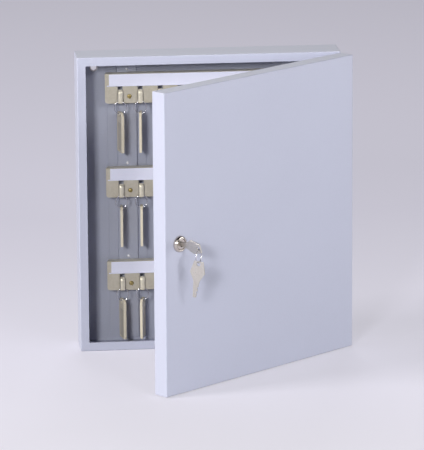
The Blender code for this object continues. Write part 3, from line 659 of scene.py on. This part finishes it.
def rounded(corners: Array, radius: float, steps: int = 5) -> Array:
    """Round the inner corners of an open profile.

    Each corner is replaced by a quadratic curve between two points that lie a radius away from it
    along its two sides, so the profile turns there without a crease.

    Args:
        corners: Corner points of the profile, in order.
        radius: Distance from a corner at which the curve starts.
        steps: Points of each curve.

    Returns:
        The finer profile.
    """
    most = 0.45  # share of a side that one curve may use up
    share = np.linspace(0.0, 1.0, steps)[:, None]
    made = [corners[:1]]
    for before, corner, after in zip(corners[:-2], corners[1:-1], corners[2:]):
        ends = []
        for way in (before - corner, after - corner):
            length = np.linalg.norm(way)
            ends.append(corner + way / length * min(radius, float(length) * most))
        start, end = ends
        curve = (1 - share) ** 2 * start + 2 * share * (1 - share) * corner + share**2 * end
        made.append(curve)
    made.append(corners[-1:])
    return np.concatenate(made)


# Parts of the cabinet


@dataclass
class Dresser:
    """What every sub-assembly needs: the frame, the workshop and how a CAD node is softened."""

    frame: dict
    workshop: Workshop
    flat_angle: float = math.radians(0.4)
    edge_angle: float = math.radians(34.0)
    shade_angle: float = 42.0
    sheet_most: float = 1.6 * MM

    def settle(
        self, piece: bpy.types.Object, body: str, finish: Finish, *nodes: str
    ) -> bpy.types.Object:
        """Give a finished piece its material, its body and the nodes that it stands for.

        Args:
            piece: The piece.
            body: CAD body that it moves with.
            finish: Its finish.
            nodes: CAD nodes that it replaces.

        Returns:
            The same piece.
        """
        piece.data.materials.clear()
        piece.data.materials.append(self.workshop.material(finish))
        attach(piece, body)
        if nodes:
            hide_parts(*nodes)
        LOG.info("%s rides on %s in %s", piece.name, body, finish.name)
        return piece

    def merged(self, node: str) -> bmesh.types.BMesh:
        """Copy a CAD node's mesh, with its doubles merged and its flats made one face each.

        Args:
            node: The CAD node.

        Returns:
            The copy, to be freed by whoever asked for it.
        """
        work = bmesh.new()
        work.from_mesh(self.frame["nodes"][node].data)
        bmesh.ops.remove_doubles(work, verts=work.verts, dist=CAD_WELD)
        bmesh.ops.dissolve_limit(
            work, angle_limit=self.flat_angle, verts=work.verts, edges=work.edges, delimit=set()
        )
        return work

    def soften(
        self,
        node: str,
        finish: Finish,
        edge: float,
        fold: float = 0.0,
        work: bmesh.types.BMesh | None = None,
    ) -> bpy.types.Object:
        """Stand a copy of a CAD node in for it, with softly broken edges and rounded folds.

        A sharp edge between two faces that are both wider than a sheet is thick is a fold, and
        every other sharp edge is a cut edge. A face's width is twice its area over its outline.

        Args:
            node: The CAD node.
            finish: Its finish.
            edge: Width of the broken cut edges, in metres.
            fold: Width of the rounded folds, or zero where they are broken as the cut edges are.
            work: A changed copy of the node's mesh to use, which is freed.

        Returns:
            The piece.
        """
        work = work or self.merged(node)
        widest = max(edge, fold)
        weight = work.edges.layers.float.new("bevel_weight_edge")
        for line in work.edges:
            faces = line.link_faces
            if len(faces) != 2 or line.calc_face_angle(0.0) < self.edge_angle:
                continue
            widths = (2.0 * face.calc_area() / max(face.calc_perimeter(), TINY) for face in faces)
            folded = fold and min(widths) > self.sheet_most and line.is_convex
            line[weight] = (fold if folded else edge) / widest
        mesh = bpy.data.meshes.new(f"{node}_soft")
        work.to_mesh(mesh)
        work.free()
        piece = shown(f"{node}_soft", mesh, self.shade_angle)
        bevel = piece.modifiers.new("broken edges", "BEVEL")
        bevel.width = widest
        bevel.segments = 3 if fold else 2
        bevel.limit_method = "WEIGHT"
        bevel.use_clamp_overlap = True
        flat = piece.modifiers.new("flat faces shade flat", "WEIGHTED_NORMAL")
        flat.mode = "FACE_AREA"
        flat.keep_sharp = True
        return self.settle(piece, self.frame["nodes"][node]["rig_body"], finish, node)

    def axis(self, joint: str) -> tuple[Array, Array]:
        """Give the point and the direction of a joint's axis.

        Args:
            joint: Name of the joint.

        Returns:
            The point and the unit direction.
        """
        found = next(item for item in self.frame["joints"] if item["name"] == joint)
        direction = np.array(found["axis"], dtype=float)
        return np.array(found["pos_m"], dtype=float), direction / np.linalg.norm(direction)

    def reach(self, node: str, centre: Array, axis: Array) -> tuple[float, float, float]:
        """Measure a CAD node along and round an axis.

        Args:
            node: The CAD node.
            centre: Point on the axis.
            axis: Direction of the axis.

        Returns:
            Its lowest and highest place along the axis, and its largest radius.
        """
        mesh = self.frame["nodes"][node].data
        points = np.empty(len(mesh.vertices) * 3)
        mesh.vertices.foreach_get("co", points)
        offset = points.reshape(-1, 3) - centre
        along = offset @ axis
        out = np.linalg.norm(offset - along[:, None] * axis, axis=1)
        return float(along.min()), float(along.max()), float(out.max())

    def bend_ring(self, node: str, body: str, across: Array | None, wire: float) -> None:
        """Bend a ring of wire where an upright CAD ring is.

        Args:
            node: The ring's CAD node.
            body: Its body.
            across: Level direction of its plane, or none where its box gives it.
            wire: Radius of the wire.
        """
        low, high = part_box(node)
        if across is None:
            across = np.array([high.x - low.x, high.y - low.y, 0.0])
            across /= np.linalg.norm(across)
        radius = (high.z - low.z) / 2 - wire
        grid = torus(np.array((low + high) / 2), across, radius, wire)
        self.settle(mesh_of(f"{node}_wire", [grid]), body, RING_WIRE, node)


@dataclass
class Case:
    """Folded case, back panel, uprights, fixing grommets and the hinges' pins and leaves."""

    dresser: Dresser
    sheet_edge: float = 0.18 * MM
    fold_edge: float = 1.1 * MM
    rim_width: float = 1.8 * MM
    rim_thick: float = 1.0 * MM
    neck_wall: float = 0.6 * MM
    rear_thick: float = 0.6 * MM
    rear_step: float = 0.3 * MM
    rim_round: float = 0.45 * MM
    rim_steps: int = 72
    pip_radius: float = 2.1 * MM
    pip_rise: float = 1.5 * MM
    pip_above: float = 3.7 * MM
    pip_skin: float = 0.06 * MM
    pip_sink: float = 0.01 * MM
    pip_root: float = 0.05 * MM
    pip_rings: int = 12
    pip_steps: int = 40

    def build(self) -> None:
        """Dress the case."""
        self.dresser.soften("case_frame", POWDER_COAT, self.sheet_edge, self.fold_edge)
        self.dresser.soften("case_back", SHADED_INNER_COAT, self.sheet_edge)
        for side in SIDES:
            self.dresser.soften(f"upright_{side}", SHADED_INNER_COAT, self.sheet_edge)
            self._pips(side)
            self._grommet(side)
        for height in ("lower", "upper"):
            for part in ("hinge_leaf_case", "hinge_leaf_door", "hinge_pin"):
                self.dresser.soften(f"{part}_{height}", ZINC, self.sheet_edge)

    def _pips(self, side: str) -> None:
        """Cap the three locating pips of an upright with bright bare metal, as a press leaves it,
        whose near-white colour is also a painted highlight.

        A cap's radius and rise follow a quarter of an ellipse, like the pip under it.

        Args:
            side: Which upright.
        """
        low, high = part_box(f"upright_{side}")
        turn = np.linspace(0.0, math.pi / 2, self.pip_rings)
        reach, rise = self.pip_radius + self.pip_skin, self.pip_rise - self.pip_sink
        cap = np.stack([reach * np.cos(turn), rise * np.sin(turn)], axis=1)
        profile = np.concatenate([[(0.0, -self.pip_root)], cap])
        grids = []
        for row in Row:
            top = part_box(f"key_bar_{row.value}")[1].z
            x = (low.x + high.x) / 2
            centre = np.array([x, low.y + self.pip_rise, top + self.pip_above])
            grids.append(spun(centre, -BACK, profile, self.pip_steps))
        self.dresser.settle(mesh_of(f"upright_{side}_pips", grids), "case", PIP_BARE_AND_GLINT)

    def _grommet(self, side: str) -> None:
        """Turn a fixing hole's rim: a rounded flange in front, a neck, and a thin flange behind.

        Args:
            side: Which of the two holes.
        """
        node = f"fixing_grommet_{side}"
        low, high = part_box(node)
        flange = (high.x - low.x) / 2
        bore = flange - self.rim_width
        neck, rear = bore + self.neck_wall, flange - self.rear_step
        shoulder, lip = low.y + self.rim_thick, high.y - self.rear_thick
        corners = np.array(
            [
                (bore, high.y), (bore, low.y), (flange, low.y), (flange, shoulder),
                (neck, shoulder), (neck, lip), (rear, lip), (rear, high.y), (bore, high.y),
            ]
        )
        profile = rounded(corners, self.rim_round)[:-1]
        grid = spun(middle(low, high, 0.0), BACK, profile, self.rim_steps, closed=True)
        self.dresser.settle(mesh_of(f"{node}_turned", [grid]), "case", GROMMET, node)


@dataclass
class HookBar:
    """One bar with its hooks, label strip, screws and spacers."""

    dresser: Dresser
    row: Row
    cut_edge: float = 0.2 * MM
    fold_edge: float = 0.75 * MM
    sheet: float = 0.8 * MM
    hook_count: int = 10
    hook_end: float = 20.1 * MM
    hook_width: float = 5.9 * MM
    hook_floor: float = 1.2 * MM
    hook_channel: float = 5.2 * MM
    hook_knee: float = 15.9 * MM
    hook_tip: float = 18.9 * MM
    hook_lean: float = 2.4 * MM
    hook_bend: float = 1.9 * MM
    hook_crown: float = 0.42 * MM
    hook_round: float = 0.45 * MM
    hook_pinch: float = 0.12 * MM
    hook_columns: int = 15
    bend_steps: int = 7
    tip_start: float = 0.15
    tip_steps: int = 9
    head_rise: float = 1.7 * MM
    head_rings: tuple[tuple[float, float, int], ...] = ((0.0, 0.92, 34), (0.935, 1.0, 8))
    shank: float = 1.6 * MM
    shank_point: float = 0.8 * MM
    recess: float = 0.9 * MM
    recess_arm: float = 1.7 * MM
    recess_width: float = 0.42 * MM
    recess_wall: float = 0.12 * MM
    recess_fade: float = 0.5 * MM

    def build(self) -> None:
        """Dress the bar."""
        name = self.row.value
        self._bar(f"key_bar_{name}")
        self.dresser.soften(f"label_strip_{name}", LABEL_WHITE, self.cut_edge / 2)
        for side in SIDES:
            self._screw(f"bar_screw_{name}_{side}")
            self.dresser.soften(f"bar_spacer_{name}_{side}", ZINC, self.cut_edge / 2)

    def _bar(self, node: str) -> None:
        """Keep the folded sheet of the CAD and put dished hooks in place of its flat ones.

        Args:
            node: The bar's CAD node.
        """
        low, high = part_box(node)
        face = low.y + self.hook_channel + self.sheet
        just_ahead = 0.02 * MM
        work = self.dresser.merged(node)
        bmesh.ops.bisect_plane(
            work, geom=work.verts[:] + work.edges[:] + work.faces[:],
            plane_co=(0.0, face - just_ahead, 0.0), plane_no=(0.0, 1.0, 0.0), clear_inner=True,
        )
        bmesh.ops.holes_fill(work, edges=[line for line in work.edges if line.is_boundary])
        self.dresser.soften(node, BAR_PLATE, self.cut_edge, self.fold_edge, work=work)
        pitch = (high.x - low.x - 2.0 * self.hook_end) / (self.hook_count - 1)
        places = [low.x + self.hook_end + pitch * index for index in range(self.hook_count)]
        hooks = mesh_of(f"{node}_hooks", [self._hook(x, face, low.z) for x in places], sharp=50.0)
        # The hooks' paler finish is rubbed wear plus a painted highlight.
        self.dresser.settle(hooks, self.dresser.frame["nodes"][node]["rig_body"], HOOK_RUBBED_AND_LIT)

    def _path(self) -> Array:
        """Work out a hook's path in depth and height: rounded bends and a straight, fine tip.

        It runs forward along the floor, up the front and back at the tip.

        Returns:
            Points in the middle of the sheet.
        """
        half = self.sheet / 2
        front = -self.hook_channel - half
        corners = np.array(
            [
                (half, self.hook_floor - half), (front, self.hook_floor - half),
                (front, self.hook_knee), (front + self.hook_lean, self.hook_tip),
            ]
        )
        path = rounded(corners, self.hook_bend, self.bend_steps)
        share = np.linspace(self.tip_start, 1.0, self.tip_steps)[:, None]
        return np.concatenate([path[:-1], path[-2] + (path[-1] - path[-2]) * share])

    def _hook(self, x: float, face: float, foot: float) -> Grid:
        """Work out one hook: a dished cross-section carried along the hook's bent path.

        With share s from -1 to 1 across the tongue and side t of plus or minus half the sheet, a
        point lies at the path's point, plus s times half the width along X, plus t + crown
        (1 - s^2) along the path's outward normal. The crown grows from nothing at the root to its
        full height in front. Near the tip the width follows a circle, which rounds the corners,
        and the sheet is a little thinner at its two sides.

        Args:
            x: Middle of the hook.
            face: Y of the bar's face.
            foot: Z of the bar's lower edge.

        Returns:
            The closed surface.
        """
        path = self._path()
        step = np.gradient(path, axis=0)
        step /= np.linalg.norm(step, axis=1)[:, None]
        outward = np.stack([step[:, 1], -step[:, 0]], axis=1) * -1.0
        run = np.concatenate([[0.0], np.cumsum(np.linalg.norm(np.diff(path, axis=0), axis=1))])
        crown = self.hook_crown * np.clip(run / (2.0 * self.hook_channel), 0.0, 1.0)
        corner = self.hook_round
        dent = np.clip(corner - (run[-1] - run), 0.0, corner)
        circle = np.sqrt(np.clip(corner**2 - dent**2, 0.0, None))
        wide = self.hook_width / 2 - (corner - circle)
        across = np.linspace(-1.0, 1.0, self.hook_columns)
        shares = np.concatenate([across, across[::-1]])
        half = self.sheet / 2
        sides = np.repeat([half, -half], self.hook_columns)
        ends = np.abs(shares) == 1.0
        sides = sides - np.sign(sides) * ends * self.hook_pinch
        rise = sides[None, :] + crown[:, None] * (1.0 - shares[None, :] ** 2)
        points = np.stack(
            [
                x + shares[None, :] * wide[:, None],
                face + path[:, 0][:, None] + outward[:, 0][:, None] * rise,
                foot + path[:, 1][:, None] + outward[:, 1][:, None] * rise,
            ],
            axis=-1,
        )
        return Grid(points, capped=True)

    def _screw(self, node: str) -> None:
        """Make a pan head screw with a cross recess.

        The head is a height over a disc: a flattened dome, pan (1 - (r / R)^4)^(1/2), less a cross
        whose depth fades from the middle to the ends of its arms. The shank is turned below it.

        Args:
            node: The screw's CAD node.
        """
        low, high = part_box(node)
        radius = (high.x - low.x) / 2
        centre = middle(low, high, low.y + self.head_rise)
        rings = np.concatenate([np.linspace(*part) for part in self.head_rings])[:, None]
        turn = turn_of()[None, :]
        across, up = rings * radius * np.cos(turn), rings * radius * np.sin(turn)
        dome = self.head_rise * np.sqrt(np.clip(1.0 - rings**4, 0.0, 1.0))
        arms = [
            np.clip((self.recess_width - np.abs(way)) / self.recess_wall, 0.0, 1.0)
            for way in (across, up)
        ]
        within = np.clip((self.recess_arm - rings * radius) / self.recess_fade, 0.0, 1.0)
        depth = self.recess * np.maximum(*arms) * within
        head = np.stack([centre[0] + across, centre[1] - dome + depth, centre[2] + up], axis=-1)
        end = high.y - centre[1]
        profile = np.array(
            [
                (radius, 0.0), (self.shank, 0.0), (self.shank, end - self.shank_point),
                (self.shank_point, end), (0.0, end),
            ]
        )
        grids = [Grid(head), spun(centre, BACK, profile)]
        piece = mesh_of(f"{node}_turned", grids, sharp=50.0)
        self.dresser.settle(piece, "case", YELLOW_ZINC, node)


@dataclass
class TagSet:
    """Ring, tag and label on one hook."""

    dresser: Dresser
    row: Row
    hook: int
    wire: float = 0.55 * MM
    shell_edge: float = 0.45 * MM
    paper_edge: float = 0.08 * MM

    def build(self) -> None:
        """Dress the set."""
        label = f"{self.row.value}_{self.hook}"
        self.dresser.bend_ring(f"tag_ring_{label}", f"ring_{label}", RIGHT, self.wire)
        self.dresser.soften(f"key_tag_{label}", TAG_SHELL, self.shell_edge)
        self.dresser.soften(f"tag_label_{label}", TAG_PAPER, self.paper_edge)


@dataclass
class Door:
    """Door pan."""

    dresser: Dresser
    sheet_edge: float = 0.18 * MM
    fold_edge: float = 1.1 * MM

    def build(self) -> None:
        """Dress the door."""
        self.dresser.soften("door_panel", POWDER_COAT, self.sheet_edge, self.fold_edge)


@dataclass
class Lock:
    """Cam lock with its key, and the spare key on its ring."""

    dresser: Dresser
    metal_edge: float = 0.2 * MM
    ring_wire: float = 0.6 * MM
    bore: float = 6.3 * MM
    rim_under: float = 0.3 * MM
    rim_edge: float = 0.9 * MM
    lip: float = 8.0 * MM
    pocket: float = 7.6 * MM
    pocket_depth: float = 2.7 * MM
    pocket_chamfer: float = 0.1 * MM
    pocket_round: float = 0.25 * MM
    barrel: float = 8.8 * MM
    barrel_flat: float = 7.8 * MM
    barrel_top: float = 0.7 * MM
    thread_pitch: float = 1.0 * MM
    thread_depth: float = 0.35 * MM
    lead_in: float = 0.8 * MM
    lead_drop: float = 0.3 * MM
    bezel_rings: int = 16
    bezel_steps: int = 128
    barrel_rows: int = 150

    def build(self) -> None:
        """Dress the lock and the keys."""
        self._housing()
        self.dresser.soften("lock_plug", CHROME, self.metal_edge)
        for node in ("lock_washer", "lock_nut", "lock_cam", "lock_cam_screw"):
            self.dresser.soften(node, ZINC, self.metal_edge)
        for node in ("key_in_lock", "spare_key"):
            self.dresser.soften(node, NICKEL, self.metal_edge)
        self.dresser.bend_ring("key_ring", "key_ring", None, self.ring_wire)

    def _housing(self) -> None:
        """Put the turned bezel and the threaded barrel in place of the CAD housing."""
        centre, axis = self.dresser.axis("lock_turn")
        rear, front, rim = self.dresser.reach("lock_housing", centre, axis)
        grids = [self._bezel(centre, axis, front, rim), self._barrel(centre, axis, rear)]
        piece = mesh_of("lock_housing_turned", grids, sharp=50.0)
        self.dresser.settle(piece, "door", CHROME, "lock_housing")

    def _bezel(self, centre: Array, axis: Array, front: float, rim: float) -> Grid:
        """Turn the bezel: a closed profile whose outer side is a quarter of an ellipse.

        Args:
            centre: Point on the lock's axis.
            axis: Direction of the axis.
            front: Place of the bezel's front along it.
            rim: Its largest radius.

        Returns:
            The closed surface.
        """
        under, floor = self.rim_under, front - self.pocket_depth
        u = np.linspace(0.0, math.pi / 2, self.bezel_rings)
        edge = under + self.rim_edge
        swell = np.stack(
            [self.lip + (rim - self.lip) * np.sin(u), edge + (front - edge) * np.cos(u)], axis=1
        )
        corners = [
            (rim, under), (self.bore, under), (self.bore, floor), (self.pocket, floor),
            (self.pocket, front - self.pocket_chamfer), (self.lip, front),
        ]
        inner = rounded(np.array(corners), self.pocket_round)
        profile = np.concatenate([swell, inner[:-1]])
        return spun(centre, axis, profile, self.bezel_steps, closed=True)

    def _barrel(self, centre: Array, axis: Array, rear: float) -> Grid:
        """Cut the barrel's thread and flats.

        The radius at turn u and place a is R - d (1 + cos(2 pi a / pitch - u)) / 2, less a little
        at the rear end where the thread leads in, and the two flats clip one coordinate.

        Args:
            centre: Point on the lock's axis.
            axis: Direction of the axis.
            rear: Place of the barrel's rear end along it.

        Returns:
            The closed surface, with the plug's bore in it.
        """
        place = np.linspace(self.barrel_top, rear, self.barrel_rows)[:, None]
        turn = turn_of()[None, :]
        fade = np.clip((place - rear) / self.lead_in, 0.0, 1.0)
        wave = (1.0 + np.cos(math.tau * place / self.thread_pitch - turn)) / 2
        cut = self.barrel - self.thread_depth * wave - self.lead_drop * (1.0 - fade)
        level = np.clip(cut * np.sin(turn), -self.barrel_flat, self.barrel_flat)
        flip, same = place[::-1], np.zeros((len(place), turn.shape[1]))
        up = np.concatenate([cut * np.cos(turn), self.bore * np.cos(turn) + same])
        level = np.concatenate([level, self.bore * np.sin(turn) + same])
        along = np.concatenate([place + same, flip + same])
        side = np.cross(UP, axis)
        points = centre + up[..., None] * UP + level[..., None] * side + along[..., None] * axis
        return Grid(points, closed=True)


# Stage, light and camera


@dataclass(frozen=True)
class Lamp:
    """A rectangular area lamp, placed as seen from the cabinet."""

    name: str
    azimuth: float
    elevation: float
    distance: float
    wide: float
    tall: float
    power: float
    warmth: float = 0.0
    green_share: float = 0.35
    aim: tuple[float, float, float] = (0.0, -0.1, 0.2)

    def hang(self) -> None:
        """Hang the lamp, facing its aim.

        Azimuth counts in degrees from straight in front, positive to the right. The place is
        aim + distance (cos e sin a, -cos e cos a, sin e). Warmth takes away blue, and a share of
        it green.
        """
        turn, rise = math.radians(self.azimuth), math.radians(self.elevation)
        level = math.cos(rise)
        towards = Vector((level * math.sin(turn), -level * math.cos(turn), math.sin(rise)))
        data = bpy.data.lights.new(self.name, "AREA")
        data.shape = "RECTANGLE"
        data.size = self.wide
        data.size_y = self.tall
        data.energy = self.power
        data.color = (1.0, 1.0 - self.green_share * self.warmth, 1.0 - self.warmth)
        lamp = placed(self.name, data)
        lamp.location = Vector(self.aim) + towards * self.distance
        lamp.rotation_euler = (-towards).to_track_quat("-Z", "Y").to_euler()


LAMPS = (
    Lamp("front left", -20.5, 18.0, 5.8, 0.90, 0.90, 174.0),
    Lamp("front right", 23.4, 24.4, 5.9, 0.90, 0.90, 62.0),
    Lamp("low right", 34.0, 4.0, 5.5, 1.20, 1.20, 68.0),
    Lamp("right side", 80.0, 4.0, 2.6, 1.00, 1.00, 15.0),
    Lamp("left side", -75.0, 22.0, 5.5, 1.60, 1.60, 270.0, warmth=0.05),
    Lamp("behind", 176.0, 39.0, 4.8, 1.60, 1.60, 57.0),
)


@dataclass
class Studio:
    """Pale floor, soft lamps and the camera of the photograph."""

    floor_tones: tuple[tuple[float, Rgb], ...] = (
        (-0.55, (252.0, 250.0, 255.0)),
        (0.00, (245.0, 243.0, 253.0)),
        (0.75, (221.0, 219.0, 232.0)),
        (2.60, (193.0, 191.0, 201.0)),
    )
    floor_share: float = 0.5
    floor_colour: Rgb = (216.0, 213.0, 230.0)
    bounce_colour: Rgb = (164.0, 162.0, 168.0)
    floor_roughness: float = 0.85
    floor_specular: float = 0.1
    floor_reach: float = 12.0
    floor_drop: float = 0.2 * MM
    room_greys: tuple[tuple[float, float], ...] = (
        (0.0, 0.34), (0.20, 0.28), (0.36, 0.03), (1.0, 0.02),
    )
    room_blue: float = 1.04
    room_share: float = 0.03
    eye: tuple[float, float, float] = (-0.4834, -4.9807, 1.3716)
    pitch: float = 13.58
    yaw: float = 5.60
    roll: float = -0.37
    lens: float = 307.5
    sensor: float = 36.0
    farthest: float = 100.0

    def build(self) -> None:
        """Set up the stage."""
        self._camera()
        self._floor()
        self._world()
        for lamp in LAMPS:
            lamp.hang()
        bpy.context.scene.view_settings.view_transform = "Standard"

    def _camera(self) -> None:
        """Place the camera: forward from pitch and yaw, then turned by the roll about it."""
        pitch, yaw, roll = (math.radians(value) for value in (self.pitch, self.yaw, self.roll))
        forward = Vector(
            (math.sin(yaw) * math.cos(pitch), math.cos(yaw) * math.cos(pitch), -math.sin(pitch))
        )
        level = Vector((math.cos(yaw), -math.sin(yaw), 0.0))
        upright = level.cross(forward)
        right = level * math.cos(roll) + upright * math.sin(roll)
        up = upright * math.cos(roll) - level * math.sin(roll)
        data = bpy.data.cameras.new("camera")
        data.lens = self.lens
        data.sensor_width = self.sensor
        data.clip_end = self.farthest
        camera = placed("camera", data)
        columns = Matrix((right, up, -forward)).transposed().to_4x4()
        camera.matrix_world = Matrix.Translation(self.eye) @ columns
        bpy.context.scene.camera = camera

    def _floor(self) -> None:
        """Lay the floor: part lit, part its own glow where it is seen, and paler to the front."""
        reach, z = self.floor_reach, -self.floor_drop
        corners = ((-reach, -reach, z), (reach, -reach, z), (reach, reach, z), (-reach, reach, z))
        mesh = bpy.data.meshes.new("floor")
        mesh.from_pydata(corners, [], [(0, 1, 2, 3)])
        floor = placed("floor", mesh)
        material = bpy.data.materials.new("pale_floor")
        material.use_nodes = True
        tree = material.node_tree
        shader = tree.nodes["Principled BSDF"]
        seen = _seen(tree)
        bounce, colour = linear(self.bounce_colour), linear(self.floor_colour)
        looks = {
            "Base Color": _mix(tree, seen, bounce, colour),
            "Roughness": self.floor_roughness,
            "Specular IOR Level": self.floor_specular,
        }
        _feed(tree, shader, looks)
        near, far = self.floor_tones[0][0], self.floor_tones[-1][0]
        place = _node(tree, "ShaderNodeTexCoord", {}).outputs["Object"]
        inputs = {"Value": _split(tree, place, "Y"), "From Min": near, "From Max": far}
        depth = _node(tree, "ShaderNodeMapRange", inputs).outputs["Result"]
        stops = tuple(((y - near) / (far - near), linear(tone)) for y, tone in self.floor_tones)
        glow = _node(tree, "ShaderNodeEmission", {"Color": _ramp(tree, depth, stops)})
        share = _maths(tree, "MULTIPLY", seen, self.floor_share)
        both = _node(
            tree, "ShaderNodeMixShader",
            {"Fac": share, 1: shader.outputs["BSDF"], 2: glow.outputs["Emission"]},
        )
        _feed(tree, tree.nodes["Material Output"], {"Surface": both.outputs["Shader"]})
        mesh.materials.append(material)

    def _world(self) -> None:
        """Put a dim room round it: pale near the horizon, dark above, and hardly a light itself."""
        world = bpy.data.worlds.new("room")
        world.use_nodes = True
        tree = world.node_tree
        place = _node(tree, "ShaderNodeTexCoord", {}).outputs["Generated"]
        stops = tuple(
            (height, (grey, grey, grey * self.room_blue, 1.0)) for height, grey in self.room_greys
        )
        looks = {
            "Color": _ramp(tree, _split(tree, place, "Z"), stops),
            "Strength": _maths(tree, "MAXIMUM", _seen(tree), self.room_share),
        }
        _feed(tree, tree.nodes["Background"], looks)
        bpy.context.scene.world = world


def main() -> None:
    """Load the frame and build the stage and every sub-assembly."""
    logging.basicConfig(level=logging.INFO, format="%(name)s: %(message)s")
    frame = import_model()
    Studio().build()
    dresser = Dresser(frame, Workshop())
    Case(dresser).build()
    for row in Row:
        HookBar(dresser, row).build()
        for hook in (1, 2):
            TagSet(dresser, row, hook).build()
    Door(dresser).build()
    Lock(dresser).build()


if __name__ == "__main__":
    main()
